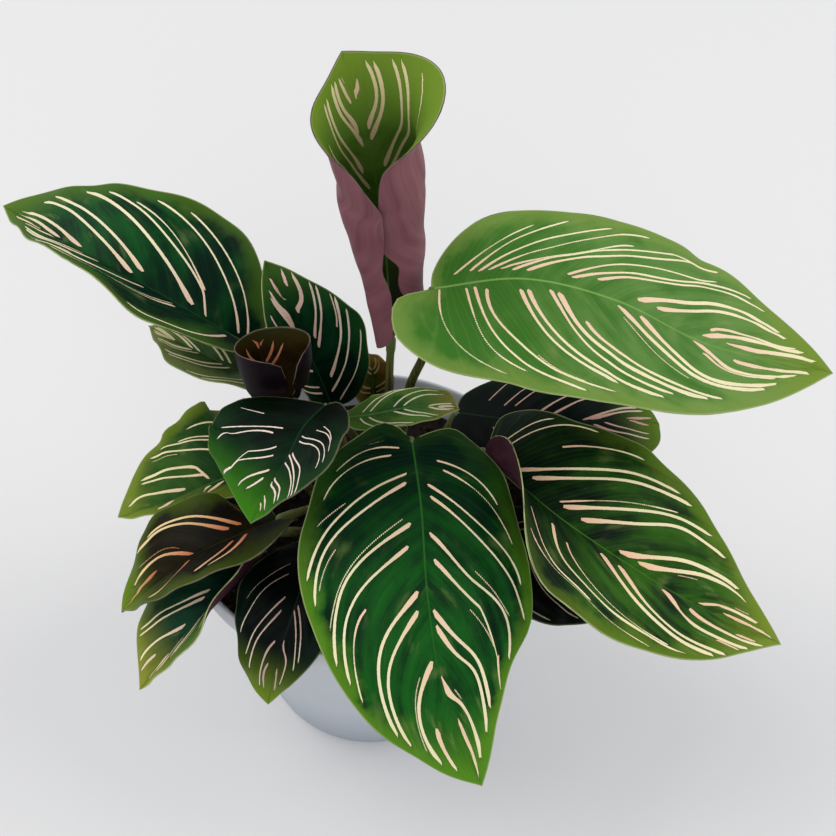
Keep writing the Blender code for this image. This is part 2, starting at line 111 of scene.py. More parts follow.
# What the materials read for a stripe: way to its centre line, run from its head, run to its tail,
# half its width, all in millimetres
NO_STRIPE = [9.0, 0.0, 0.0, 0.0]
BEADED_WIDTH = 4         # tenths of a millimetre, up to which a stripe is a row of beads
BEADED = 0.3             # the half width that says so

# One entry per leaf, in millimetres and degrees.
#   foot:    place of the petiole's foot in the potting mix
#   petiole: points above the mix on the way to the blade
#   midrib:  points from the blade's base to its tip
#   face:    way that the upper side looks, from base to tip
#   fold:    rise of the left and right half at the midrib, from base to tip
#   curl:    turn of each half on its way out to the margin, from base to tip
#   calm:    share of the blade, from the base, whose lie is held steady
#   wave:    height and count of the margin's waves, and the phase of each side
#   left, right: margin points, along the midrib and out from it, the tip being forward
#   tone:    green or brown of the upper side
LEAVES = {
    "leaf_left_large": {
        "foot": (-8, 8),
        "petiole": [(-16, 16, 108), (-28, 25, 133)],
        "midrib": [(-39, 29, 149), (-52, 26, 163), (-70, 29, 175),
                   (-92, 41, 179), (-132, 82, 168)],
        "face": [(-0.1, 0.0, 1), (-0.1, 0.0, 1)],
        "fold": ([12, 25, 40, 25, 5], [28, 28, 20]),
        "curl": ([10], [-10]),
        "calm": 0.35,
        "wave": (0.6, 3, 0.0, 2.0),
        "left": [(0, 5), (12, 11), (32, 21), (52, 20), (70, 14), (94, 8), (112, 4)],
        "right": [(-2, 7), (2, 14), (8, 22), (16, 29), (24, 33), (33, 34), (41, 34),
                  (53, 32), (66, 29), (86, 23), (107, 15), (117, 8)],
        "tone": "deep",
    },
    "leaf_tall_rolled": {
        "foot": (6, 20),
        "petiole": [(8, 26, 110), (9, 27, 138)],
        "midrib": [(10, 26, 156), (8, 32, 196), (5, 28, 227), (3, 22, 242), (-1, 16, 267)],
        "face": [(0.5, -1, 0.1), (0.2, -1, 0.25), (0.28, -1, 0.5)],
        "fold": ([0], [0]),
        "curl": ([266, 213, 185, 164, 169, 105], [320, 300, 237, 207, 208, 82]),
        "wave": (0.0, 3, 0.0, 2.0),
        "left": [(1, 9), (8, 20), (18, 25), (30, 28), (47, 32), (69, 38), (88, 32), (103, 21), (108, 7)],
        "right": [(1, 7), (8, 17), (18, 23), (30, 29), (42, 33), (58, 41), (81, 44), (106, 30), (111, 8)],
        "tone": "olive",
    },
    "leaf_right_large": {
        "foot": (8, 8),
        "petiole": [(13, 21, 112), (16, 27, 130), (21, 21, 152), (23, 12, 176)],
        "midrib": [(23, 6, 194), (51, 7, 197), (80, 6, 189), (109, 3, 174), (156, 10, 154)],
        "face": [(0.0, -0.2, 1), (0.15, -0.2, 1), (0.1, -0.2, 1)],
        "fold": ([6], [-4]),
        "curl": ([-6], [-16]),
        "wave": (0.6, 3, 0.0, 2.0),
        "left": [(1, 6), (7, 15), (16, 22), (32, 27), (54, 30),
                 (78, 33), (98, 33), (112, 28), (124, 20), (135, 9)],
        "right": [(-11, 3), (-12, 14), (-8, 20), (-2, 25), (8, 30), (22, 34),
                  (38, 36), (58, 34), (79, 29), (95, 23), (115, 15), (131, 7)],
        "tone": "light",
    },
    "leaf_center_upright": {
        "foot": (-4, 14),
        "petiole": [(-8, 26, 96)],
        "midrib": [(-13, 35, 112), (-17, 32, 134), (-22, 30, 154), (-26, 30, 169), (-31, 33, 183)],
        "face": [(0.3, -0.9, 0.4)],
        "fold": ([20], [15]),
        "curl": ([20], [-10]),
        "wave": (0.4, 3, 0.0, 2.0),
        "left": [(0, 3), (5, 6), (16, 8), (34, 10), (50, 11), (62, 8)],
        "right": [(0, 6), (5, 12), (14, 17), (26, 20), (38, 22), (49, 19), (59, 13), (67, 7)],
        "tone": "deep",
    },
    "leaf_left_under": {
        "foot": (-14, 12),
        "petiole": [(-17, 15, 95)],
        "midrib": [(-36, 35, 124), (-45, 28, 138), (-58, 29, 146), (-77, 44, 144)],
        "face": [(-0.1, 0.1, 1)],
        "fold": ([5], [60]),
        "curl": ([0], [0]),
        "wave": (0.4, 3, 0.0, 2.0),
        "left": [(0, 5), (7, 11), (18, 13), (36, 11), (43, 7), (51, 4)],
        "right": [(0, 5), (7, 10), (18, 12), (30, 12), (42, 8), (51, 4)],
        "tone": "grey_green",
    },
    "leaf_furled_cup": {
        "foot": (-3, 4),
        "petiole": [(-10, 6, 105), (-22, 7, 125)],
        "midrib": [(-31, 9, 140), (-32, 12, 149), (-33, 15, 158), (-34, 18, 166)],
        "face": [(0.55, -0.8, 0.5)],
        "fold": ([0], [0]),
        "curl": ([430, 250, 188, 166, 160], [430, 250, 188, 166, 160]),
        "wave": (0.0, 3, 0.0, 2.0),
        "left": [(1, 5), (4, 13), (9, 24), (14, 31), (19, 34), (23, 34), (26, 26), (27, 13)],
        "right": [(1, 5), (4, 13), (9, 24), (14, 31), (19, 34), (23, 34), (26, 26), (27, 13)],
        "tone": "brown",
    },
    "leaf_dark_round": {
        "foot": (-6, -1),
        "petiole": [(-9, -9, 105), (-9, -12, 138)],
        "midrib": [(-10, -10, 160), (-16, -25, 165), (-20, -35, 163),
                   (-26, -43, 157), (-31, -47, 147)],
        "face": [(-0.05, -0.35, 1)],
        "fold": ([22], [-5]),
        "curl": ([0], [-10]),
        "wave": (0.6, 3, 0.0, 2.0),
        "left": [(-1, 4), (4, 9), (11, 13), (19, 16), (27, 15), (35, 10), (43, 5)],
        "right": [(1, 6), (3, 15), (6, 22), (14, 27), (27, 29), (37, 27), (44, 21), (48, 11)],
        "tone": "black_green",
    },
    "leaf_left_pale": {
        "foot": (-16, 4),
        "petiole": [(-20, 5, 100)],
        "midrib": [(-32, 6, 118), (-41, -1, 118), (-53, -6, 116), (-68, -9, 110), (-87, -8, 100)],
        "face": [(-0.2, -0.3, 1)],
        "fold": ([5], [5]),
        "curl": ([-10], [-20]),
        "wave": (0.6, 3, 0.0, 2.0),
        "left": [(0, 5), (7, 9), (18, 8), (32, 5), (46, 3), (56, 2)],
        "right": [(0, 20), (5, 31), (14, 35), (26, 33), (41, 27), (54, 19), (60, 7)],
        "tone": "yellow_green",
    },
    "leaf_left_bronze": {
        "foot": (-12, -6),
        "petiole": [(-16, -12, 110)],
        "midrib": [(-28, -22, 117), (-37, -32, 123), (-54, -39, 119),
                   (-67, -43, 109), (-81, -43, 93)],
        "face": [(-0.3, -0.4, 1)],
        "fold": ([35], [5]),
        "curl": ([0], [-20]),
        "wave": (0.6, 3, 0.0, 2.0),
        "left": [(0, 6), (6, 12), (16, 15), (30, 15), (44, 10), (60, 5)],
        "right": [(-1, 6), (5, 12), (16, 17), (30, 21), (41, 22), (52, 18), (61, 12), (67, 6)],
        "tone": "brown",
    },
    "leaf_left_low": {
        "foot": (-12, -15),
        "petiole": [(-16, -15, 100)],
        "midrib": [(-30, -19, 106), (-40, -39, 108), (-52, -51, 102),
                   (-64, -58, 90), (-75, -62, 75)],
        "face": [(-0.3, -0.4, 1)],
        "fold": ([88, 70, 40, 20], [5]),
        "curl": ([0], [-20]),
        "wave": (0.4, 3, 0.0, 2.0),
        "left": [(0, 4), (6, 9), (18, 13), (33, 14), (48, 10), (62, 5)],
        "right": [(0, 6), (6, 14), (18, 20), (35, 22), (52, 21), (63, 18), (70, 11)],
        "tone": "teal",
    },
    "leaf_front_dark": {
        "foot": (-6, -14),
        "petiole": [(-9, -18, 98)],
        "midrib": [(-15, -26, 108), (-19, -47, 112), (-23, -61, 108),
                   (-27, -68, 97), (-30, -71, 82)],
        "face": [(-0.1, -0.5, 1)],
        "fold": ([5], [5]),
        "curl": ([-20], [-20]),
        "wave": (0.4, 3, 0.0, 2.0),
        "left": [(0, 5), (5, 11), (15, 15), (28, 15), (43, 11), (54, 6)],
        "right": [(0, 6), (5, 13), (15, 19), (28, 20), (40, 17), (51, 13), (61, 7)],
        "tone": "black_green",
    },
    "leaf_front_large": {
        "foot": (4, -4),
        "petiole": [(8, 1, 104), (13, -1, 128)],
        "midrib": [(17, -7, 140), (20, -33, 137), (22, -56, 122), (27, -76, 98), (40, -91, 64)],
        "face": [(0.05, -0.4, 1), (0, -0.6, 1), (0, -0.9, 0.6)],
        "fold": ([8], [8]),
        "curl": ([-35], [-14]),
        "wave": (0.6, 3, 0.0, 2.0),
        "left": [(-2, 6), (-3, 14), (2, 20), (12, 27), (24, 30), (42, 33),
                 (60, 34), (72, 31), (84, 23), (97, 16), (112, 8)],
        "right": [(-5, 4), (-7, 9), (-2, 18), (7, 29), (22, 35), (37, 39),
                  (50, 39), (66, 35), (83, 28), (100, 18), (114, 10)],
        "tone": "deep",
    },
    "leaf_right_front": {
        "foot": (12, -6),
        "petiole": [(20, -4, 104), (34, 0, 122)],
        "midrib": [(42, -3, 130), (48, -16, 134), (61, -30, 132),
                   (79, -40, 124), (107, -47, 106), (145, -45, 76)],
        "face": [(0.1, -0.3, 1), (0.3, -0.5, 1)],
        "fold": ([5], [100, 30, 12, 14]),
        "curl": ([-10], [-8]),
        "calm": 0.3,
        "wave": (0.6, 3, 0.0, 2.0),
        "left": [(-3, 7), (-4, 12), (-1, 17), (5, 22), (15, 27), (25, 31), (35, 36), (45, 38), (54, 39),
                 (62, 38), (75, 36), (87, 33), (99, 26), (110, 19), (121, 12), (131, 5)],
        "right": [(-2, 5), (0, 11), (8, 18), (20, 23), (31, 28),
                  (45, 32), (62, 30), (80, 24), (100, 17), (118, 9)],
        "tone": "deep",
    },
    "leaf_right_back": {
        "foot": (16, 8),
        "petiole": [(22, 15, 99)],
        "midrib": [(33, 26, 118), (53, 18, 123), (73, 15, 125), (94, 20, 121), (106, 22, 116)],
        "face": [(0.0, -0.2, 1)],
        "fold": ([5], [5]),
        "curl": ([-15], [-15]),
        "wave": (0.4, 3, 0.0, 2.0),
        "left": [(0, 7), (8, 16), (22, 21), (40, 22), (56, 17), (66, 11), (75, 5)],
        "right": [(0, 7), (8, 15), (22, 20), (40, 22), (58, 19), (70, 14), (76, 8)],
        "tone": "black_green",
    },
    "leaf_right_shade": {
        "foot": (8, -12),
        "petiole": [(12, -13, 100), (24, -14, 110)],
        "midrib": [(40, -18, 112), (56, -33, 112), (72, -36, 102), (86, -34, 86)],
        "face": [(0.1, -0.3, 1)],
        "fold": ([5], [5]),
        "curl": ([-15], [-15]),
        "wave": (0.4, 3, 0.0, 2.0),
        "left": [(0, 6), (6, 12), (17, 17), (33, 18), (48, 14), (59, 8)],
        "right": [(0, 6), (6, 12), (17, 17), (33, 19), (46, 14), (58, 7)],
        "tone": "black_green",
    },
    "leaf_center_small": {
        "foot": (3, 13),
        "petiole": [(2, 14, 100)],
        "midrib": [(-7, 16, 126), (3, 10, 134), (18, 10, 138), (33, 9, 138)],
        "face": [(0, -0.3, 1)],
        "fold": ([5], [10]),
        "curl": ([0], [-10]),
        "wave": (0.3, 2, 0.0, 2.0),
        "left": [(0, 2), (4, 4), (11, 7), (24, 7), (32, 7), (41, 6)],
        "right": [(0, 2), (5, 4), (12, 6), (25, 7), (33, 6), (41, 3)],
        "tone": "grey_green",
    },
    "leaf_back_small": {
        "foot": (-3, 23),
        "petiole": [(-1, 35, 94)],
        "midrib": [(2, 45, 103), (2, 44, 115), (2, 42, 127), (1, 40, 135)],
        "face": [(0.2, -1, 0.3)],
        "fold": ([20], [10]),
        "curl": ([20], [10]),
        "wave": (0.2, 2, 0.0, 2.0),
        "left": [(0, 3), (4, 6), (12, 8), (22, 7), (29, 3)],
        "right": [(0, 3), (4, 6), (12, 8), (22, 7), (29, 3)],
        "tone": "olive",
    },
}

# Pinstripes of each half, base first, measured: share out where a stripe starts and ends, its
# width in tenths of a millimetre, then where its vein leaves the midrib, evenly along the stripe.
# Shares are in percent. Widths up to 4 are broken lines.
STRIPES = {
    "leaf_front_large": {
        "left": [(10, 45, 5, 6, 7, 9.5), (12, 61, 5, 8.3, 10.5, 12.8), (4, 80, 6, 13.8, 16, 15.5, 15),
                 (5, 93, 7, 17, 18.8, 18, 16.3), (41, 82, 3, 25.6, 24, 21.3),
                 (4, 97, 9, 26.5, 28.2, 27, 23.3, 25), (7, 97, 9, 32.4, 33, 31.3, 28, 31),
                 (44, 80, 3, 34.8, 33, 31), (86, 96, 5, 30.5, 34), (4, 92, 12, 46, 46, 44, 41.5, 45),
                 (6, 93, 11, 49.5, 50.2, 48, 45.6, 55), (32, 48, 4, 61.5, 61),
                 (4, 90, 13, 63.5, 65, 63, 63, 71), (26, 83, 9, 74.5, 78.5, 86)],
        "right": [(7, 44, 4.5, 2.5, 2.2, 4), (10, 50, 5, 4, 4.2, 7), (4, 86, 8, 10, 10.5, 11, 10),
                  (36, 60, 3, 9.6, 9), (5, 87, 8, 12.7, 13.2, 12.8, 12.5), (53, 78, 3, 14.8, 13.8),
                  (10, 84, 3.5, 21, 20.3, 18), (6, 94, 9, 23.4, 22, 20.3, 19.5),
                  (9, 93, 9, 28.2, 27.2, 25.3, 23.7, 24.5), (50, 94, 5, 29.2, 27.4, 28.5),
                  (7, 94, 11, 40, 39.2, 37.8, 37.3, 40.5), (10, 94, 11, 44, 43.6, 42.3, 41.5, 46),
                  (30, 90, 4, 55.8, 55, 54.8), (5, 94, 13, 58.7, 58, 57, 56.5, 61),
                  (53, 93, 10, 66.5, 66.5, 70)],
    },
    "leaf_right_front": {
        "left": [(3, 42, 6, 2.2, 3.6, 5.2), (3, 62, 7, 4.4, 6.2, 8), (30, 77, 6, 10.6, 11.7, 12.7),
                 (4, 86, 12, 11.7, 16.1, 18.1, 19.2, 20), (6, 90, 12, 15.3, 19.3, 21.2, 22.2, 22.3),
                 (7, 76, 5, 23.5, 26.6, 28.1, 27.6), (6, 94, 13, 25.2, 28.8, 30, 29.6, 30.2),
                 (7, 94, 13, 30.1, 33.6, 34.1, 33.2, 38.1), (5, 90, 17, 42.7, 45.9, 46.6, 47.8, 52),
                 (7, 90, 16, 47.8, 51, 51.6, 52.3, 58.8), (29, 49, 4, 53.2, 54.5),
                 (8, 85, 14, 62.9, 66.2, 69.4, 72.5), (66, 83, 4, 66.4, 67.7), (23, 80, 10, 75, 79.7, 86.1)],
        "right": [(48, 96, 5, 8.8, 12.5, 13.5, 16.6), (29, 75, 8, 11.5, 13.1, 14),
                  (15, 95, 10, 22.1, 18.9, 17.4, 19, 27.6), (23, 90, 5, 24.3, 21.2, 21.1, 26),
                  (10, 98, 14, 36.8, 35.7, 34.6, 34.4), (12, 99, 14, 41.3, 39.6, 38.1, 39.2),
                  (83, 97, 5, 48.4, 49.3), (8, 98, 12, 55.9, 54.3, 51.6, 50.4, 54.4),
                  (23, 98, 10, 61.3, 59.7, 60.1, 61.5, 65.6), (72, 90, 7, 67.1, 68.1)],
    },
    "leaf_right_large": {
        "left": [(6, 36, 5, 4, 8.5, 10.7), (6, 46, 5, 7, 11.8, 13.5), (5, 51, 6, 9, 17, 20),
                 (5, 62, 5, 11, 20, 22.5, 22.7), (5, 46, 5, 13.5, 23, 26, 27),
                 (4, 94, 7, 16, 25.6, 28.5, 26.5, 21.5), (4, 94, 7, 19, 28, 31, 28.5, 26.5),
                 (6, 85, 6, 27, 33, 36, 34.5), (5, 95, 8, 28.5, 36, 38.5, 37, 40),
                 (9, 95, 8, 33, 38.5, 40, 39, 46), (7, 91, 13, 43.5, 46, 47, 47.5, 58),
                 (10, 90, 12, 47.5, 50, 50.5, 52, 62), (25, 88, 8, 59.5, 61, 67, 68.5),
                 (11, 90, 15, 60.5, 64, 69, 71.5), (15, 90, 14, 69, 75, 77, 80)],
        "right": [(1, 60, 4.5, 1.8, 2.5, 5.5), (2, 60, 5, 7, 5.6, 8), (2, 86, 6, 8.8, 7.2, 9, 11),
                  (4, 86, 7, 10.8, 9, 10.5, 12, 17), (48, 75, 4, 11.3, 12.8),
                  (6, 78, 9, 17.3, 16, 17.5, 20.5), (6, 88, 9, 19, 18, 19, 21, 25.5),
                  (5, 84, 8, 24, 23, 24, 29.5), (6, 87, 11, 25.7, 24.7, 26, 30, 35),
                  (24, 88, 9, 27.5, 29, 34, 38), (14, 65, 4, 39, 41, 42),
                  (4, 88, 11, 40, 43.5, 45, 45, 52), (5, 86, 12, 45.7, 47.5, 48, 48, 58.5),
                  (22, 78, 5, 58.5, 57.5, 57.5, 64), (4, 82, 12, 60, 60.5, 59, 60, 72),
                  (24, 87, 10, 67, 69, 75.5, 77)],
    },
    "leaf_left_large": {
        "left": [(5, 79, 6, 6.8, 7.2), (11, 93, 7, 20.8, 17.9), (8, 82, 3, 22.6, 19.8), (12, 93, 8, 30, 27.2),
                 (61, 93, 5, 32.9, 31.4), (8, 89, 7, 46, 43.8), (8, 86, 6, 52, 50), (10, 71, 6, 65.9, 65.5),
                 (12, 75, 8, 75.9, 77.7)],
        "right": [(3, 77, 7, 1.7, 6.3, 8.6, 9.4), (2, 84, 8, 4.8, 9.5, 11.9, 13.1),
                  (2, 88, 9, 13.7, 17.3, 20.9, 22, 25), (16, 79, 5, 15, 17.6, 18.9, 20.1),
                  (4, 91, 12, 19.5, 24.7, 27.6, 29.5, 33.9), (9, 89, 11, 33.4, 37.9, 42.7, 47, 51.1),
                  (4, 86, 11, 37.3, 44.1, 49.5, 53.1, 59.8), (6, 68, 13, 55, 61.7, 67.2, 72.2, 80.5),
                  (4, 38, 10, 66, 74.2, 82.2)],
    },
    "leaf_tall_rolled": {
        "left": [(6, 86, 10, 43.4, 50.5, 53.8, 53.5, 51), (6, 95, 9, 49.7, 55.5, 58.2, 58.6, 60),
                 (12, 95, 10, 54.9, 60, 61.6, 61.2, 62.5), (10, 96, 12, 66.5, 69.6, 69.3, 67.8, 68.6),
                 (17, 94, 11, 71.5, 73, 72.3, 71, 72), (36, 90, 7, 80.5, 79, 76.6),
                 (72, 86, 4, 81.5, 80)],
        "right": [(5, 98, 12, 51.2, 55, 55.7, 54.2, 56.6), (10, 98, 12, 55.6, 58.8, 59, 57.8, 60.2),
                  (70, 97, 5, 48, 46.5, 49), (6, 96, 13, 68.3, 68.9, 68.3, 67, 69),
                  (10, 95, 12, 72.5, 72.7, 71.5, 70.4, 73.5), (3, 66, 10, 85.7, 85, 83.6, 83)],
    },
    "leaf_center_upright": {
        "left": [(8, 88, 7, 12, 11), (8, 88, 7, 17, 16), (8, 90, 9, 30, 29), (8, 88, 8, 35, 34),
                 (8, 88, 8, 47, 46), (3, 88, 13, 58, 62, 62, 58), (3, 90, 14, 65, 67, 65, 62),
                 (2, 85, 9, 82, 80, 76.5)],
        "right": [(10, 80, 7, 3, 12, 15.5, 15.3), (4, 95, 10, 11, 19, 23, 23.5, 21.5),
                  (9, 99, 12, 20.5, 27, 29, 29, 27), (63, 99, 5, 32, 30),
                  (18, 99, 10, 40.5, 43.5, 42.5, 39), (23, 99, 10, 45.5, 48, 46.5, 43.5),
                  (32, 99, 14, 63.5, 61, 56.5, 57), (75, 98, 9, 69, 67), (5, 30, 10, 80, 74)],
    },
    "leaf_dark_round": {
        "left": [(33, 75, 4.5, 20, 15), (28, 83, 5, 25, 19, 14), (10, 88, 6, 36, 30, 22, 17),
                 (11, 88, 6, 39.5, 33, 25, 20), (11, 99, 7, 47.5, 43, 35, 27),
                 (2, 99, 7, 51.5, 47, 40, 29), (5, 99, 7, 56, 50, 42, 31), (2, 95, 8, 67, 62, 53, 41),
                 (2, 95, 9, 70, 66, 57, 44), (2, 90, 9, 79, 75, 69, 61), (2, 80, 7, 84, 80, 74)],
        "right": [(28, 50, 4.5, 19, 11), (13, 68, 7, 31.5, 24, 17), (20, 87, 9, 33.5, 27, 25, 24),
                  (17, 98, 7, 44, 44, 38.5, 30.5), (20, 98, 7, 50, 48.5, 43, 35), (83, 97, 5, 42, 38),
                  (20, 90, 8, 60, 59, 56, 52.5), (30, 78, 8, 64, 64, 60.5)],
    },
    "leaf_left_pale": {
        "left": [(15, 60, 8, 27.5, 25.5, 22), (12, 42, 9, 36, 34, 31), (10, 60, 7, 60, 57)],
        "right": [(30, 68, 8, 5, 12.5, 20), (22, 65, 6, 11, 21, 28.5), (18, 84, 8, 10, 22.5, 29.5, 33.9),
                  (12, 91, 9, 15, 29.5, 36, 38.7), (50, 86, 4, 36, 39.5, 41.3),
                  (6, 87, 13, 29.5, 41.5, 49, 53.8), (4, 83, 9, 31, 46, 51.3, 54.5, 56.8),
                  (6, 86, 10, 51.5, 60.5, 65, 68, 77)],
    },
    "leaf_left_bronze": {
        "left": [(8, 70, 10, 19, 16), (12, 75, 10, 24, 20), (10, 88, 10, 46, 41)],
        "right": [(20, 75, 5, 9, 8), (7, 88, 12, 18.5, 24.5, 26.5, 29.5), (8, 97, 13, 24.5, 29.5, 30.5, 36),
                  (23, 82, 4, 44, 45, 51), (3, 83, 13, 45, 47.5, 51, 63), (30, 60, 10, 60, 68, 80)],
    },
    "leaf_left_low": {
        "left": [(10, 85, 8, 14, 14), (10, 85, 8, 20, 20), (10, 80, 9, 42, 42), (10, 80, 9, 47, 47),
                 (8, 85, 8, 60, 60), (15, 80, 7, 74, 76)],
        "right": [(10, 92, 8, 12, 13), (10, 92, 8, 17, 18), (13, 96, 9, 37, 42.5, 43, 40.5),
                  (13, 96, 9, 41, 46.5, 47, 44), (13, 96, 9, 56, 59, 58.5, 60), (55, 96, 7, 69, 68.5)],
    },
    "leaf_front_dark": {
        "left": [(12, 85, 5, 15, 17), (12, 85, 5, 20, 22), (7, 82, 6, 39.5, 40.5, 38),
                 (2, 85, 6, 43.5, 45, 42), (2, 83, 7, 59, 58, 55, 60), (20, 80, 7, 71, 71, 73)],
        "right": [(17, 75, 4.5, 12.5, 16, 16), (17, 91, 6, 19.5, 23, 26), (15, 87, 6, 34, 37.5, 39, 40.5),
                  (17, 87, 7, 40.5, 44, 45.5, 50), (18, 88, 8, 56, 58.5, 63, 66.5),
                  (33, 82, 7, 66, 68, 74)],
    },
    "leaf_right_back": {
        "left": [(15, 50, 4.5, 9.5, 8), (13, 80, 5, 18, 17), (15, 80, 5, 23, 22.5), (9, 90, 8, 36, 38),
                 (12, 90, 9, 42.5, 45, 46), (3, 88, 10, 60, 66, 67.5, 65), (3, 90, 10, 64, 70.5, 72, 69),
                 (3, 92, 9, 84, 84, 80)],
        "right": [(10, 90, 5, 17, 17), (10, 90, 5, 22, 22), (10, 92, 8, 40, 40), (10, 92, 8, 45, 45),
                  (10, 92, 8, 62, 62), (10, 90, 8, 68, 68), (15, 80, 7, 82, 82)],
    },
    "leaf_furled_cup": {
        "left": [(5, 85, 8, 46, 52, 52, 46), (5, 75, 9, 55, 60, 62), (4, 75, 10, 78, 80, 76)],
        "right": [(6, 70, 8, 46, 53, 54), (6, 70, 9, 56, 62, 64), (5, 60, 9, 80, 80, 77)],
    },
}


def paired(starts, width, gap):
    """Even pairs of stripes, where the leaf's own can't be seen."""
    return [(8, 92, width, start + move, start + move - 1) for start in starts for move in (0, gap)]


for name, starts, width, gap in (
        ("leaf_left_under", (14, 34, 54, 74), 7, 5), ("leaf_right_shade", (12, 34, 56, 76), 6, 5),
        ("leaf_center_small", (20, 48, 76), 5, 8), ("leaf_back_small", (20, 55), 6, 9),
        ("leaf_tall_rolled", (6, 19, 32), 8, 4)):
    for side in ("left", "right"):
        STRIPES.setdefault(name, {}).setdefault(side, []).extend(paired(starts, width, gap))


# Leaf geometry

def unit(vectors):
    """The same directions, each of length one."""
    return vectors / np.maximum(np.linalg.norm(vectors, axis=-1, keepdims=True), 1e-9)


def smooth_line(points, count):
    """A centripetal Catmull-Rom line through the points, sampled at even lengths."""
    points = np.asarray(points, float)
    points = np.vstack([2 * points[0] - points[1], points, 2 * points[-1] - points[-2]])
    dense = []
    for a, b, c, d in zip(points, points[1:], points[2:], points[3:]):
        t1 = max(np.linalg.norm(b - a), 1e-6) ** 0.5
        t2 = t1 + max(np.linalg.norm(c - b), 1e-6) ** 0.5
        t3 = t2 + max(np.linalg.norm(d - c), 1e-6) ** 0.5
        t = np.linspace(t1, t2, 24)[:, None]
        ab = ((t1 - t) * a + t * b) / t1
        bc = ((t2 - t) * b + (t - t1) * c) / (t2 - t1)
        cd = ((t3 - t) * c + (t - t2) * d) / (t3 - t2)
        abc = ((t2 - t) * ab + t * bc) / t2
        bcd = ((t3 - t) * bc + (t - t1) * cd) / (t3 - t1)
        dense.append((((t2 - t) * abc + (t - t1) * bcd) / (t2 - t1))[:-1])
    dense = np.vstack(dense + [points[-2:-1]])
    run = np.concatenate([[0], np.cumsum(np.linalg.norm(np.diff(dense, axis=0), axis=1))])
    at = np.linspace(0, run[-1], count)
    return np.stack([np.interp(at, run, dense[:, k]) for k in range(dense.shape[1])], 1)


def keyed(values, share):
    """Values spaced evenly from base to tip, eased in between."""
    values = np.atleast_1d(np.asarray(values, float))
    share = np.clip(share, 0, 1)
    if len(values) == 1:
        return np.full_like(share, values[0], dtype=float)
    place = share * (len(values) - 1)
    low = np.minimum(place.astype(int), len(values) - 2)
    part = place - low
    part = part * part * (3 - 2 * part)
    return values[low] + (values[low + 1] - values[low]) * part


def eased(low, high, value):
    """Runs smoothly from 0 at low to 1 at high."""
    part = np.clip((value - low) / (high - low), 0, 1)
    return part * part * (3 - 2 * part)


class Blade:
    """The middle surface of one leaf blade, as a place for each distance along and out."""

    def __init__(self, leaf):
        self.leaf = leaf
        self.line = smooth_line(leaf["midrib"], MIDRIB_POINTS)
        self.length = np.linalg.norm(np.diff(self.line, axis=0), axis=1).sum()
        self.along = unit(np.gradient(self.line, axis=0))
        share = np.linspace(0, 1, MIDRIB_POINTS)
        face = np.asarray(leaf["face"], float)
        up = np.stack([keyed(face[:, k], share) for k in range(3)], 1)
        self.up = unit(up - self.along * (up * self.along).sum(1, keepdims=True))
        self.right = unit(np.cross(self.along, self.up))
        if "calm" in leaf:
            # the base keeps the lie of the blade further on, so that its lobe doesn't crease
            held = share + leaf["calm"] + np.sqrt((share - leaf["calm"]) ** 2 + 0.08 ** 2)
            held = np.minimum(held / 2, 1.0)
            self.up, self.right = (
                unit(np.stack([np.interp(held, share, way[:, k]) for k in range(3)], 1))
                for way in (self.up, self.right))
        tip = (self.length, 0.0)
        self.margin = {}
        self.width = {}
        for side in ("left", "right"):
            self.margin[side] = smooth_line([(0.0, 0.0), *leaf[side], tip], MARGIN_POINTS)
            self.width[side] = float(max(point[1] for point in leaf[side]))

    def frame(self, along):
        """Midrib point and its three directions, going on straight past both ends."""
        share = np.clip(along / self.length, 0, 1)
        place = share * (len(self.line) - 1)
        low = np.minimum(place.astype(int), len(self.line) - 2)
        part = (place - low)[..., None]
        mix = [(data[low] * (1 - part) + data[low + 1] * part)
               for data in (self.line, self.along, self.up, self.right)]
        forward = unit(mix[1])
        past = (along - share * self.length)[..., None]
        return mix[0] + forward * past, forward, unit(mix[2]), unit(mix[3])

    def point(self, along, out):
        """Place on the blade; out is below zero on the left half."""
        leaf = self.leaf
        right = out >= 0
        share = np.clip(along / self.length, 0, 1)
        width = np.where(right, self.width["right"], self.width["left"])
        fold, turn = (np.radians(np.where(right, keyed(leaf[key][1], share), keyed(leaf[key][0], share)))
                      for key in ("fold", "curl"))
        turn = turn / width
        turn = np.where(np.abs(turn) < 1e-5, 1e-5, turn)
        reach = np.abs(out)
        angle = fold + turn * reach
        across = (np.sin(angle) - np.sin(fold)) / turn
        rise = (np.cos(fold) - np.cos(angle)) / turn
        height, count, left_phase, right_phase = leaf["wave"]
        phase = np.where(right, right_phase, left_phase)
        lift = height * (reach / width) ** 2 * np.sin(2 * math.pi * count * share + phase)
        lift = lift * np.clip(6 * share, 0, 1)
        across = across - lift * np.sin(angle)
        rise = rise + lift * np.cos(angle)
        middle, forward, up, side = self.frame(along)
        sign = np.where(right, 1.0, -1.0)
        return middle + side * (sign * across)[..., None] + up * rise[..., None]

    def normal(self, along, out, sign):
        """Direction away from the upper side; sign is 1 on the right half and -1 on the left."""
        here = self.point(along, out)
        forward = self.point(along + 0.1, out) - here
        right = (self.point(along, out + sign * 0.1) - here) * sign
        return unit(np.cross(right, forward))

    def vein(self, side, start, share):
        """Along and out of places on the side veins: start is where a vein leaves the midrib."""
        edge = self.margin[side]
        place = np.clip(vein_end(start) * (MARGIN_POINTS - 1), 0, MARGIN_POINTS - 1.001)
        low = place.astype(int)
        part = (place - low)[..., None]
        spot = edge[low] * (1 - part) + edge[low + 1] * part
        begin = start * self.length
        along = begin + (spot[..., 0] - begin) * (0.7 * share + 0.3 * share ** 4)
        out = np.maximum(spot[..., 1], 0) * (1 - (1 - share) ** 2.2)
        return along, out


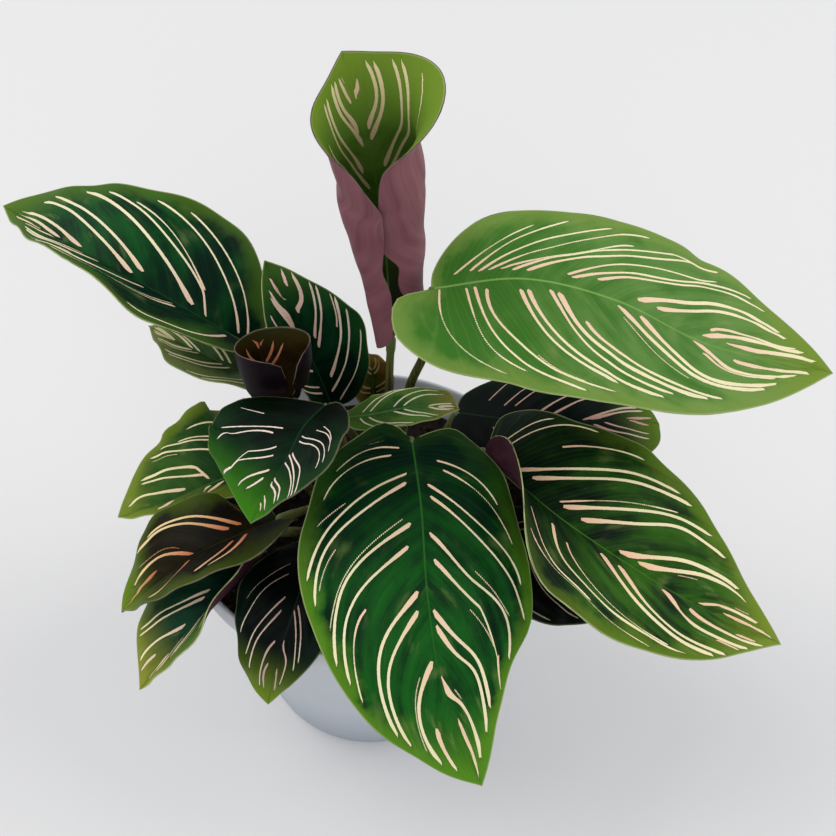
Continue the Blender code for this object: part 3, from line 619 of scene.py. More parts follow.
def vein_end(start):
    """Share of the margin, from base to tip, where the vein from that share of the midrib ends. Near
    the base the veins fan out, and further on they run forward, as they do in the photo."""
    return start + (1 - start) * (0.47 + 0.53 * start) * (1 - np.exp(-start / 0.04))


def stripe_lines(marks, share):
    """Vein starts along each stripe, one row for each, kept in order from base to tip."""
    lines = []
    for first, last, width, *starts in marks:
        knots = np.linspace(first, last, len(starts)) / 100
        fit = np.polyfit(knots, np.array(starts) / 100, len(starts) - 1)
        lines.append(np.polyval(fit, np.clip(share, knots[0], knots[-1])))
    order = sorted(range(len(marks)), key=lambda k: lines[k][len(share) // 2])
    kept = []
    floor = np.full(len(share), STRIPE_START)
    for k in order:
        line = np.maximum(lines[k], floor)
        kept.append((marks[k], np.minimum(line, STRIPE_END)))
        floor = line + STRIPE_GAP
    return kept


def half_rows(blade, side, marks, share):
    """Vein starts of each row of one half's mesh, with the stripe that each row belongs to."""
    rows = []
    owners = []

    # adds the rows between two lines, half of them to each line's stripe
    def fill(a, b, owner_a, owner_b, ends):
        mid = len(share) // 2
        span = (vein_end(b[mid]) - vein_end(a[mid])) * 0.6 + (b[mid] - a[mid]) * 0.6
        count = max(2, 2 * round(span * blade.length / ROW_STEP / 2))
        low, high = a[mid], b[mid]
        fine = np.linspace(low, high, 200)
        grade = vein_end(fine) + fine
        parts = (np.interp(np.linspace(grade[0], grade[-1], count + 1), grade, fine) - low) / (high - low)
        shared = owner_a is not None and owner_b is not None
        for k in range(1, count + (1 if ends else 0)):
            first = owner_b is None or (owner_a is not None and k <= count / 2)
            if shared and 2 * k == count:
                # two rows close together, where the values of one stripe change to those of the next
                rows.extend([a + (b - a) * (parts[k] - CHANGE), a + (b - a) * (parts[k] + CHANGE)])
                owners.extend([owner_a, owner_b])
            else:
                rows.append(a + (b - a) * parts[k])
                owners.append(owner_a if first else owner_b)

    lines = stripe_lines(marks, share)
    last = np.full(len(share), FIRST_START)
    rows.append(last)
    owners.append(0 if lines else None)
    owner = None
    for index, (mark, line) in enumerate(lines):
        fill(last, line, owner, index, False)
        rows.append(line)
        owners.append(index)
        last = line
        owner = index
    fill(last, np.full(len(share), LAST_START), owner, None, True)
    for k in range(1, len(rows)):
        rows[k] = np.maximum(rows[k], rows[k - 1] + LEAST_STEP)
    return np.array(rows), owners, lines


def within(outline, x, y):
    """Which points lie inside a closed line."""
    found = np.zeros(x.shape, bool)
    for (x1, y1), (x2, y2) in zip(outline, np.roll(outline, -1, 0)):
        if y1 != y2:
            found ^= ((y1 > y) != (y2 > y)) & (x < (x2 - x1) * (y - y1) / (y2 - y1) + x1)
    return found


def half_sheet(blade, side, marks, seed):
    """One half of the blade, row by row: places, their upward way and the values for the materials."""
    columns = COLUMNS if blade.length > SMALL_BLADE else COLUMNS * 2 // 3
    share = FIRST_SHARE + (1 - FIRST_SHARE) * np.linspace(0, 1, columns + 1) ** 1.05
    starts, owners, lines = half_rows(blade, side, marks, share)
    sign = 1.0 if side == "right" else -1.0
    full = np.broadcast_to(share, starts.shape)
    along, out = blade.vein(side, starts, full)
    rim = smooth_line(blade.margin[side], RIM_POINTS)
    edge = np.zeros(starts.shape)
    outline = np.vstack([blade.margin[side], [(blade.length, 0.0), (0.0, 0.0)]])
    # what lies past the margin is drawn back to it
    for k in range(len(starts)):
        gap = (rim[:, 0] - along[k][:, None]) ** 2 + (rim[:, 1] - out[k][:, None]) ** 2
        nearest = gap.argmin(1)
        edge[k] = np.sqrt(gap.min(1))
        past = ~within(outline, along[k], out[k])
        past[:3] = False
        past[-1] = True
        edge[k][past] = 0.0
        past[-1] = False
        along[k][past] = rim[nearest[past], 0]
        out[k][past] = rim[nearest[past], 1]
    places = blade.point(along, sign * (out + HAIR))
    up = blade.normal(along, sign * (out + HAIR), sign)
    draw = random.Random(seed)
    stripe = np.tile(NO_STRIPE, starts.shape + (1,))
    for index, (mark, line) in enumerate(lines):
        first, last, width, *_ = mark
        a, o = blade.vein(side, line, share)
        centre = blade.point(a, sign * (o + HAIR))
        step = np.linalg.norm(np.diff(centre, axis=0), axis=1)
        run = np.concatenate([[0], np.cumsum(step)])
        way = unit(np.gradient(centre, axis=0))
        begin = np.interp(first / 100, share, run)
        end = np.interp(last / 100, share, run)
        since = run - begin
        # a stripe is broadest by its head, thin on its way out, and swells a little before its tail
        wide = width / 10 * draw.uniform(0.92, 1.08)
        thin = wide * 0.6
        local = thin + (wide - thin) * np.exp(-(np.maximum(since - 3, 0) / 5.0) ** 2)
        local = local + 0.1 * wide * np.exp(-((end - run - 6) / 5.0) ** 2)
        if width <= BEADED_WIDTH:
            local = np.full(len(run), BEADED)
        for row, owner in enumerate(owners):
            if owner == index:
                gap = places[row] - centre
                near = np.linalg.norm(np.cross(gap, way), axis=1)
                stripe[row] = np.stack([near, since, end - run, local], 1)
    value = np.stack([along / blade.length, full, out, edge], -1)
    return places, up, value, stripe, starts[..., None] * blade.length


def zip_faces(a, place_a, b, place_b):
    """Triangles between two lines of vertices, a then b across, both running forward."""
    faces = []
    i = j = 0
    while i < len(a) - 1 or j < len(b) - 1:
        step_a = place_a[i + 1] if i < len(a) - 1 else math.inf
        step_b = place_b[j + 1] if j < len(b) - 1 else math.inf
        if step_a <= step_b:
            faces.append((a[i], b[j], a[i + 1]))
            i += 1
        else:
            faces.append((a[i], b[j], b[j + 1]))
            j += 1
    return faces


def blade_shell(blade, leaf, marks, name):
    """Closed blade: vertices, faces, material numbers and shading values of each vertex."""
    count = max(24, int(blade.length))
    middle = np.linspace(0, 1, count + 1)
    rib = middle * blade.length
    tilts = [blade.normal(rib, np.full(count + 1, sign * HAIR), sign) for sign in (-1.0, 1.0)]
    none = 0 * middle
    sheets = [(blade.point(rib, none), unit(tilts[0] + tilts[1]),
               np.stack([middle, none, none, none + WELL_IN], 1), np.tile(NO_STRIPE, (count + 1, 1)),
               rib[:, None])]
    faces = []
    start = count + 1
    rims = {}
    for side in ("left", "right"):
        sheet = half_sheet(blade, side, marks[side], name + side)
        rows, across = sheet[0].shape[:2]
        number = start + np.arange(rows * across).reshape(rows, across)
        start += rows * across
        sheets.append([part.reshape(rows * across, -1) for part in sheet])
        strip = zip_faces(range(1, count), middle[1:count], number[:, 0], sheet[2][:, 0, 0])
        strip.append((0, number[0, 0], 1))
        strip.append((count - 1, number[-1, 0], count))
        strip.extend((0, number[0, k + 1], number[0, k]) for k in range(across - 1))
        strip.extend((count, number[-1, k], number[-1, k + 1]) for k in range(across - 1))
        strip.extend(zip(number[:-1, :-1].ravel(), number[:-1, 1:].ravel(),
                         number[1:, 1:].ravel(), number[1:, :-1].ravel()))
        faces.extend(strip if side == "right" else [face[::-1] for face in strip])
        rims[side] = list(number[:, -1])
    places, up, values, stripes, veins = (np.vstack(parts) for parts in zip(*sheets))
    veins = veins[:, 0]
    edge = np.minimum(values[:, 3], WELL_IN)
    half = (EDGE_THICKNESS + (BLADE_THICKNESS - EDGE_THICKNESS) * eased(0, THINNING, edge)) / 2
    inward = np.clip(values[:, 1] * 4, 0, 1) * eased(0, 6, edge)
    height, lift = (ROLLED_RIPPLE, 0.0) if name in ROLLED else (RIPPLE, SWAY)
    ripple = height * np.sin(veins * (2 * math.pi / VEIN_SPACING)) * inward
    trough = RIB_TROUGH * np.exp(-(values[:, 2] / TROUGH_WIDTH) ** 2) * (1 - values[:, 0])
    keel = RIB_KEEL * np.exp(-(values[:, 2] / KEEL_WIDTH) ** 2) * (1 - values[:, 0])
    sway = lift * np.sin(values[:, 0] * 31 + len(name)) * values[:, 1] ** 2
    places = places + up * sway[:, None]
    top = places + up * (half + ripple - trough)[:, None]
    under = places - up * (half - ripple + keel)[:, None]
    loop = [0] + rims["right"] + [count] + rims["left"][::-1]
    loop_places = places[loop]
    tangent = unit(np.roll(loop_places, -1, 0) - np.roll(loop_places, 1, 0))
    outward = unit(np.cross(tangent, up[loop]))
    bead = loop_places + outward * RIM_BULGE
    total = len(places)
    verts = np.vstack([top, under, bead])
    index = {vertex: 2 * total + k for k, vertex in enumerate(loop)}
    back = [[vertex + total for vertex in face[::-1]] for face in faces]
    rim = []
    for a, b in zip(loop, loop[1:] + loop[:1]):
        rim.append((b, a, index[a], index[b]))
        rim.append((index[b], index[a], a + total, b + total))
    parts = [TOP] * len(faces) + [UNDER] * len(back) + [RIM] * len(rim)
    values = np.vstack([values, values, values[loop]])
    stripes = np.vstack([stripes, stripes, np.tile(NO_STRIPE, (len(loop), 1))])
    veins = np.concatenate([veins, veins, veins[loop]])
    return verts, faces + back + rim, parts, values, stripes, veins


def petiole_shell(leaf, blade):
    """Closed petiole from its foot in the mix to the underside of the midrib."""
    x, y = leaf["foot"]
    rise = [(x, y, MIX_TOP + 2.5), *leaf["petiole"], leaf["midrib"][0]]
    curve = smooth_line(rise, PETIOLE_POINTS)
    low = np.array([(x, y, HOLE_BOTTOM + SEAT_GAP), (x, y, HOLE_BOTTOM + SEAT_GAP + 8)])
    rib = np.linspace(0, RIB_SHARE * blade.length, RIB_POINTS)[1:]
    middle, _, up, _ = blade.frame(rib)
    radius = np.linspace(NECK_RADIUS, RIB_TIP_RADIUS, RIB_POINTS)[1:]
    sink = np.maximum(radius - 0.1, 0.3)[:, None]
    path = np.vstack([low, curve[:-1], curve[-1:] - 0.9 * blade.up[0], middle - up * sink])
    stem = np.linspace(FOOT_RADIUS, NECK_RADIUS, len(curve))
    run = np.concatenate([[0], np.cumsum(np.linalg.norm(np.diff(curve, axis=0), axis=1))])
    swell = KNEE_SWELL * eased(run[-1] - 9, run[-1] - 6, run) * (1 - 0.8 * eased(run[-1] - 1.5, run[-1], run))
    radii = np.concatenate([[FOOT_RADIUS] * 2, stem + swell, radius])
    forward = unit(np.gradient(path, axis=0))
    side = np.array([1.0, 0.0, 0.0])
    verts = []
    for point, way, size in zip(path, forward, radii):
        side = side - way * side.dot(way)
        side = side / np.linalg.norm(side)
        other = np.cross(way, side)
        for k in range(PETIOLE_SIDES):
            angle = 2 * math.pi * k / PETIOLE_SIDES
            verts.append(point + size * (math.cos(angle) * side + math.sin(angle) * other))
    rings = np.arange(len(verts)).reshape(-1, PETIOLE_SIDES)
    after = np.roll(rings, -1, 1)
    faces = [rings[0, ::-1]]
    faces.extend(zip(rings[:-1].ravel(), after[:-1].ravel(), after[1:].ravel(), rings[1:].ravel()))
    faces.append(rings[-1])
    return np.array(verts), faces, np.repeat(np.linspace(0, 1, len(path)), PETIOLE_SIDES)


def leaf_object(name, leaf, marks, finishes):
    """One leaf, blade and petiole, as one mesh in place of its CAD node."""
    blade = Blade(leaf)
    verts, faces, parts, values, stripes, veins = blade_shell(blade, leaf, marks, name)
    tube, tube_faces, share = petiole_shell(leaf, blade)
    shift = len(verts)
    verts = np.vstack([verts, tube])
    faces = faces + [[vertex + shift for vertex in face] for face in tube_faces]
    parts = parts + [STALK] * len(tube_faces)
    values = np.vstack([values, np.outer(share, (1, 0, 0, 0))])
    stripes = np.vstack([stripes, np.tile(NO_STRIPE, (len(tube), 1))])
    veins = np.concatenate([veins, share * 80])
    mesh = bpy.data.meshes.new(name + "_fine")
    mesh.from_pydata((verts * MM).tolist(), [], [[int(v) for v in face] for face in faces])
    mesh.polygons.foreach_set("material_index", parts)
    for finish in finishes:
        mesh.materials.append(finish)
    for title, data in (("place", values), ("stripe", stripes)):
        layer = mesh.attributes.new(title, "FLOAT_COLOR", "POINT")
        layer.data.foreach_set("color", data.astype(np.float32).ravel())
    corner = np.zeros(len(mesh.loops), np.int32)
    mesh.loops.foreach_get("vertex_index", corner)
    flat = np.stack([veins[corner], values[corner, 1] * 30], 1).astype(np.float32)
    mesh.uv_layers.new(name="veins").data.foreach_set("uv", flat.ravel())
    mesh.shade_smooth()
    mesh.set_sharp_from_angle(angle=math.radians(42))
    mesh.update()
    made = bpy.data.objects.new(name + "_fine", mesh)
    bpy.context.collection.objects.link(made)
    return made


# Finishes

SMOOTH = {"interpolation_type": "SMOOTHSTEP"}

# Colours of each leaf: deep and fresh green, margin, tip, midrib, stripe by the midrib and far out
# Painted light and shade are in these colours too: the leaves in shade (those in SHADED) are near black, with
# dimmed stripes on leaf_front_dark, leaf_right_back and leaf_right_shade, while leaf_right_large is paler for
# painted sheen and leaf_tall_rolled is given painted light against the shadow inside its roll.
LEAF_FACES = {
    "leaf_left_large": ("#032014", "#10501e", "#4a6c1c", "#567620", "#1c4a22", "#f4d2b4", "#f6eac0"),
    "leaf_tall_rolled": ("#48701e", "#688c34", "#74902c", "#74902c", "#68963c", "#f0cba6", "#f0dcaa"),
    "leaf_right_large": ("#3c7024", "#648c42", "#7c9644", "#748c28", "#86b05a", "#f4cdae", "#f6e8bc"),
    "leaf_center_upright": ("#021610", "#0a3a1c", "#1c4c1c", "#3c5c1c", "#1f4f28", "#eec4b2", "#ecdac0"),
    "leaf_left_under": ("#24401f", "#4a6434", "#7c8c4c", "#8f9c58", "#5c7444", "#ddd6a4", "#dcd8a4"),
    "leaf_furled_cup": ("#180e04", "#34240c", "#3e3414", "#2c2c0e", "#3c3c18", "#d8805a", "#dca67c"),
    "leaf_dark_round": ("#000403", "#04260e", "#0c3810", "#3c7c12", "#0c3c1c", "#f0d8c6", "#f6ecd6"),
    "leaf_left_pale": ("#123810", "#345c16", "#7a8c24", "#76882a", "#36682c", "#f0d2a8", "#f2e8b0"),
    "leaf_left_bronze": ("#060302", "#1f1a04", "#465a0c", "#6a861a", "#242c08", "#c0704a", "#f0d49c"),
    "leaf_left_low": ("#041a16", "#163f28", "#5c7c24", "#8c9028", "#2a5c3a", "#eacbb4", "#f0e8b0"),
    "leaf_front_dark": ("#010203", "#030c08", "#0a2012", "#6c861a", "#0f2818", "#b8948a", "#dcd0b0"),
    "leaf_front_large": ("#021f10", "#155c18", "#62901c", "#548a1c", "#2c6c24", "#f6d2ae", "#f6eabc"),
    "leaf_right_front": ("#03160a", "#306010", "#66801e", "#7c8e2c", "#4c7c24", "#f4c6a2", "#f6e8b8"),
    "leaf_right_back": ("#010605", "#05160e", "#0f2a12", "#5c7a1c", "#143418", "#cc9c8c", "#dcd2b2"),
    "leaf_right_shade": ("#010202", "#050a05", "#0a1208", "#1c280c", "#0c1a0e", "#8c7a6c", "#a09880"),
    "leaf_center_small": ("#164016", "#3a6430", "#5c8030", "#8a7a3c", "#5c8a44", "#e2dcb4", "#e2e0b4"),
    "leaf_back_small": ("#1c3010", "#3c521c", "#94682a", "#a8803a", "#4c6c24", "#c0a870", "#b89c60"),
}
# Colours of the underside: deep, pale, midrib
USUAL_BACK = ("#2e1620", "#4e2c38", "#442c30")
LEAF_BACKS = {
    "leaf_tall_rolled": ("#6e414a", "#8a5c62", "#7a5450"),
    # painted shade: the furled cup's underside is near black, for the shadow that lies on it
    "leaf_furled_cup": ("#080407", "#1c0e15", "#24121a"),
    "leaf_left_large": ("#4a2c38", "#6e4c58", "#5c4444"),
    "leaf_left_under": ("#6a5060", "#8c7480", "#7c6c6c"),
    "leaf_center_small": ("#5a6a4c", "#7c8c64", "#7c9464"),
}
# Where along the blade the lighter tip starts
USUAL_TIP = 0.7
TIPS = {"leaf_front_dark": 0.62, "leaf_dark_round": 0.56, "leaf_left_low": 0.6, "leaf_left_bronze": 0.64}
# Half the width that a stripe of 1 mm is painted
USUAL_BREADTH = 0.52
BROAD = {"leaf_front_large": 0.72, "leaf_right_large": 0.74, "leaf_right_front": 0.62,
         "leaf_left_large": 0.64, "leaf_tall_rolled": 0.62, "leaf_left_pale": 0.6,
         "leaf_dark_round": 0.33, "leaf_front_dark": 0.42}
# Leaves whose lighter margin runs right down to the base
RIMMED = ("leaf_right_large", "leaf_tall_rolled", "leaf_left_large", "leaf_left_pale", "leaf_center_small")
# Leaves that lie in shade, with the shade painted in: hardly faded, with a faint line along the margin
SHADED = ("leaf_dark_round", "leaf_front_dark", "leaf_left_bronze", "leaf_right_back", "leaf_right_shade",
          "leaf_furled_cup", "leaf_center_upright")
# Painted shade at the base of leaves that lie under others or inside a roll: how strong it is, how far along
# the blade it reaches, and its colour
BASE_SHADE_PAINT = {"leaf_right_front": (0.9, 0.42, "#03160a"), "leaf_front_large": (0.45, 0.42, "#021f10"),
         "leaf_left_low": (0.4, 0.42, "#041a16"), "leaf_left_pale": (0.3, 0.42, "#123810"),
         "leaf_dark_round": (0.85, 0.5, "#010402"), "leaf_tall_rolled": (0.97, 0.5, "#200e12")}
NO_BASE_SHADE_PAINT = (0.0, 0.4, "#04180c")


def colour(code):
    """Linear colour of an sRGB hex value."""
    parts = [int(code[k:k + 2], 16) / 255 for k in (1, 3, 5)]
    return (*((c / 12.92 if c <= 0.04045 else ((c + 0.055) / 1.055) ** 2.4) for c in parts), 1.0)


def feed(tree, node, inputs):
    """Gives a node its inputs, in order or by name: values, sockets, or nodes for their main result."""
    for key, value in (inputs.items() if isinstance(inputs, dict) else enumerate(inputs)):
        if isinstance(value, bpy.types.Node):
            value = value.outputs[2 if value.bl_idname == "ShaderNodeMix" else 0]
        if isinstance(value, bpy.types.NodeSocket):
            tree.links.new(value, node.inputs[key])
        else:
            node.inputs[key].default_value = value


def add(tree, kind, inputs=(), **settings):
    """Adds one shader node with its settings and inputs."""
    made = tree.nodes.new("ShaderNode" + kind)
    for key, value in settings.items():
        setattr(made, key, value)
    feed(tree, made, inputs)
    return made


def new_finish(name, **sockets):
    """A new material, its node tree and its shader, with the shader's even values."""
    made = bpy.data.materials.new(name)
    made.use_nodes = True
    shader = made.node_tree.nodes["Principled BSDF"]
    feed(made.node_tree, shader, {key.replace("_", " "): value for key, value in sockets.items()})
    return made, made.node_tree, shader


def coat(tree, shader, ground, layers, **uneven):
    """Lays colours over the ground colour in turn, each by its share, and gives the shader the result
    with its other uneven inputs."""
    for share, over in layers:
        ground = add(tree, "Mix", {0: share, 6: ground, 7: over}, data_type="RGBA")
    feed(tree, shader, {"Base Color": ground, **uneven})


def leaf_face(name):
    """Upper side of a calathea leaf: a living, waxy leaf with a satin skin. It gives the eye deep green
    that runs lighter to the margin and tip, faint side veins, and cream pinstripes with crisp edges."""
    made, tree, shader = new_finish(name + "_waxy_top", Specular_IOR_Level=0.08, IOR=1.45)
    deep, fresh, edge, tip, rib, near_rib, far_out = map(colour, LEAF_FACES[name])
    base_shade, base_shade_reach, base_shade_colour = BASE_SHADE_PAINT.get(name, NO_BASE_SHADE_PAINT)
    rim_at_base = 0.9 if name in RIMMED else 0.2
    # painted shade: the leaves in SHADED lose most of their pale patches and much of the pale line along the
    # margin
    fading, hem_share = (0.015, 0.2) if name in SHADED else (0.35, 0.5)
    place = add(tree, "Attribute", attribute_name="place")
    along, _, off_rib = add(tree, "SeparateXYZ", [place.outputs["Vector"]]).outputs
    off_edge = place.outputs["Alpha"]
    mark = add(tree, "Attribute", attribute_name="stripe")
    off_line, from_head, to_tail = add(tree, "SeparateXYZ", [mark.outputs["Vector"]]).outputs
    half_width = mark.outputs["Alpha"]
    veins = add(tree, "UVMap", uv_map="veins")
    here = add(tree, "TexCoord").outputs["Object"]
    # streaks along the veins, about 2 mm apart, in clouds about 20 mm across
    run = add(tree, "VectorMath", [veins, (0.5, 0.08, 1.0)], operation="MULTIPLY")
    streak = add(tree, "TexNoise", {"Vector": run, "Scale": 1.0, "Detail": 4.0, "Roughness": 0.6})
    cloud = add(tree, "TexNoise", {"Vector": here, "Scale": 48.0, "Detail": 4.0, "Roughness": 0.6})
    grown = add(tree, "Math", [streak, 0.4, cloud], operation="MULTIPLY_ADD")
    # bands 9 mm wide that run with the veins
    run = add(tree, "VectorMath", [veins, (0.13, 0.06, 1.0)], operation="MULTIPLY")
    band = add(tree, "TexNoise", {"Vector": run, "Scale": 1.0, "Detail": 2.0})
    grown = add(tree, "Math", [band, 1.3, grown], operation="MULTIPLY_ADD")
    grown = add(tree, "Math", [along, 0.6, grown], operation="MULTIPLY_ADD")
    light = add(tree, "MapRange", [grown, 1.24, 2.0], **SMOOTH)
    # lighter towards the margin, uneven, and less of it near the base
    reach = add(tree, "MapRange", [cloud, 0.3, 0.75, 3.0, 16.0])
    rim = add(tree, "MapRange", [off_edge, 0.0, reach, 0.75, 0.0], **SMOOTH)
    onward = add(tree, "MapRange", [along, 0.0, 0.5, rim_at_base, 1.0], **SMOOTH)
    rim = add(tree, "Math", [rim, onward], operation="MULTIPLY")
    end = add(tree, "MapRange", [along, TIPS.get(name, USUAL_TIP), 1.03], **SMOOTH)
    # faint faded patches, long the way of the veins
    run = add(tree, "VectorMath", [veins, (0.11, 0.1, 1.0)], operation="MULTIPLY")
    patch = add(tree, "TexNoise", {"Vector": run, "Scale": 1.0, "Detail": 3.0})
    faded = add(tree, "MapRange", [patch, 0.56, 0.78, 0.0, fading], **SMOOTH)
    # painted shade: the base is darkened where other leaves, or the leaf's own rolled halves, shade it
    base = add(tree, "MapRange", [along, 0.06, base_shade_reach, base_shade, 0.0], **SMOOTH)
    # side veins 1.6 mm apart, hardly lighter, and a midrib that fades towards the tip
    wave = add(tree, "TexWave", {"Vector": veins, "Scale": 0.2, "Distortion": 1.5, "Detail": 1.0},
               wave_type="BANDS", bands_direction="X").outputs["Fac"]
    fine = add(tree, "MapRange", [wave, 0.9, 1.0, 0.0, 0.09])
    middle = add(tree, "MapRange", [off_rib, 0.15, 0.5, 0.8, 0.0], **SMOOTH)
    fade = add(tree, "MapRange", [along, 0.3, 0.8, 1.0, 0.12])
    ribbed = add(tree, "Math", [middle, fade], operation="MULTIPLY")
    # pinstripes: the lesser of half the width and what the ends leave, less the way to the centre line;
    # the head is blunt and the tail runs out to a point
    width = add(tree, "Math", [half_width, BROAD.get(name, USUAL_BREADTH)], operation="MULTIPLY")
    head = add(tree, "Math", [from_head, 0.9], operation="MULTIPLY")
    tail = add(tree, "Math", [to_tail, 0.2], operation="MULTIPLY")
    ends = add(tree, "Math", [head, tail], operation="MINIMUM")
    least = add(tree, "Math", [ends, width], operation="MINIMUM")
    inside = add(tree, "Math", [least, off_line], operation="SUBTRACT")
    wobble = add(tree, "TexNoise", {"Vector": here, "Scale": 1100.0, "Detail": 2.0})
    rough = add(tree, "Math", [wobble, 0.2, -0.1], operation="MULTIPLY_ADD")
    worn = add(tree, "Math", [inside, rough], operation="ADD")
    # the narrowest stripes are rows of beads, two in 1.5 mm
    beads = add(tree, "Math", [from_head, 8.4], operation="MULTIPLY")
    beads = add(tree, "Math", [beads], operation="SINE")
    beads = add(tree, "Math", [beads, 0.11, -0.09], operation="MULTIPLY_ADD")
    beaded = add(tree, "MapRange", [half_width, BEADED, BEADED + 0.04, 1.0, 0.0])
    beads = add(tree, "Math", [beads, beaded, worn], operation="MULTIPLY_ADD")
    paint = add(tree, "MapRange", [beads, -0.04, 0.04], **SMOOTH)
    turn = add(tree, "MapRange", [from_head, 1.0, 22.0])
    stripe = add(tree, "Mix", {0: turn, 6: near_rib, 7: far_out}, data_type="RGBA")
    # the skin beside a stripe is a little darker, and a fine pale line runs along the margin
    halo = add(tree, "MapRange", [worn, -0.4, -0.05, 0.0, 0.3])
    hem = add(tree, "MapRange", [off_edge, 0.22, 0.42, hem_share, 0.0])
    gloss = add(tree, "MapRange", [cloud, 0.3, 0.7, 0.4, 0.52])
    relief = add(tree, "Math", [wave, 0.4, streak], operation="MULTIPLY_ADD")
    bump = add(tree, "Bump", {"Height": relief, "Strength": 0.1, "Distance": 0.0004})
    coat(tree, shader, deep, [
        (light, fresh), (rim, edge), (end, tip), (faded, colour("#8f9a5c")), (base, colour(base_shade_colour)),
        (fine, rib), (ribbed, rib), (halo, deep), (hem, colour("#a9b47c")), (paint, stripe),
    ], Roughness=gloss, Normal=bump)
    return made


def leaf_back(name):
    """Underside of a calathea leaf: a felted skin without a shine. It gives the eye a dull wine-purple
    with paler streaks along the side veins and a midrib of its own shade."""
    made, tree, shader = new_finish(name + "_wine_back", Roughness=0.55, Specular_IOR_Level=0.1, IOR=1.45)
    deep, pale, rib = map(colour, LEAF_BACKS.get(name, USUAL_BACK))
    place = add(tree, "Attribute", attribute_name="place")
    off_rib = add(tree, "SeparateXYZ", [place.outputs["Vector"]]).outputs["Z"]
    veins = add(tree, "UVMap", uv_map="veins")
    run = add(tree, "VectorMath", [veins, (0.25, 0.05, 1.0)], operation="MULTIPLY")
    streak = add(tree, "TexNoise", {"Vector": run, "Scale": 1.0, "Detail": 4.0, "Roughness": 0.6})
    light = add(tree, "MapRange", [streak, 0.25, 0.75])
    middle = add(tree, "MapRange", [off_rib, 0.4, 1.1, 0.8, 0.0], **SMOOTH)
    bump = add(tree, "Bump", {"Height": streak, "Strength": 0.06, "Distance": 0.0004})
    coat(tree, shader, deep, [(light, pale), (middle, rib)], Normal=bump)
    return made


def leaf_margin(name, pale, dull):
    """Margin of a leaf: a thin, toughened rim. It gives the eye a fine pale line with browned spots."""
    made, tree, shader = new_finish(name, Roughness=0.45, Specular_IOR_Level=0.4, IOR=1.45)
    here = add(tree, "TexCoord").outputs["Object"]
    spots = add(tree, "TexNoise", {"Vector": here, "Scale": 180.0, "Detail": 3.0})
    share = add(tree, "MapRange", [spots, 0.45, 0.7])
    coat(tree, shader, colour(pale), [(share, colour(dull))])
    return made


def petiole_skin(name):
    """Petiole: a ribbed, juicy stalk with a sheen. It gives the eye olive with browner streaks, and a
    greener swollen knee."""
    made, tree, shader = new_finish(name + "_stalk", Roughness=0.42, Specular_IOR_Level=0.45, IOR=1.45)
    place = add(tree, "Attribute", attribute_name="place")
    along = add(tree, "SeparateXYZ", [place.outputs["Vector"]]).outputs["X"]
    here = add(tree, "TexCoord").outputs["Object"]
    long = add(tree, "VectorMath", [here, (1400.0, 1400.0, 60.0)], operation="MULTIPLY")
    grain = add(tree, "TexNoise", {"Vector": long, "Scale": 1.0, "Detail": 3.0})
    share = add(tree, "MapRange", [grain, 0.35, 0.65])
    knee = add(tree, "MapRange", [along, 0.55, 0.7])
    bump = add(tree, "Bump", {"Height": grain, "Strength": 0.25, "Distance": 0.0003})
    coat(tree, shader, colour("#3c3a1c"), [(share, colour("#6a6a34")), (knee, colour("#5c6a34"))],
         Normal=bump)
    return made


# Pot and potting mix

def select_only(*items):
    """Leaves only these selected, the first one active."""
    for item in bpy.context.selected_objects:
        item.select_set(False)
    for item in items:
        item.select_set(True)
    bpy.context.view_layer.objects.active = items[0]


def turned_piece(name, profile, steps):
    """Spins a profile, millimetres from the axis and above the floor, into a closed turned piece."""
    mesh = bpy.data.meshes.new(name)
    links = [(k, k + 1) for k in range(len(profile) - 1)]
    mesh.from_pydata([(x * MM, 0.0, z * MM) for x, z in profile], links, [])
    made = bpy.data.objects.new(name, mesh)
    bpy.context.collection.objects.link(made)
    select_only(made)
    bpy.ops.object.mode_set(mode="EDIT")
    bpy.ops.mesh.select_all(action="SELECT")
    bpy.ops.mesh.spin(steps=steps, angle=2 * math.pi, center=(0, 0, 0), axis=(0, 0, 1))
    bpy.ops.mesh.select_all(action="SELECT")
    bpy.ops.mesh.remove_doubles(threshold=0.000002)
    bpy.ops.mesh.normals_make_consistent(inside=False)
    bpy.ops.object.mode_set(mode="OBJECT")
    bpy.ops.object.shade_smooth_by_angle(angle=math.radians(35))
    return made


def inner_radius(height):
    """Inside radius of the pot's wall at a height above the floor."""
    share = (height - FLOOR) / (POT_HEIGHT - BAND_HEIGHT - FLOOR)
    return BASE_RADIUS - WALL + share * (RIM_RADIUS - BAND_STEP - BASE_RADIUS)


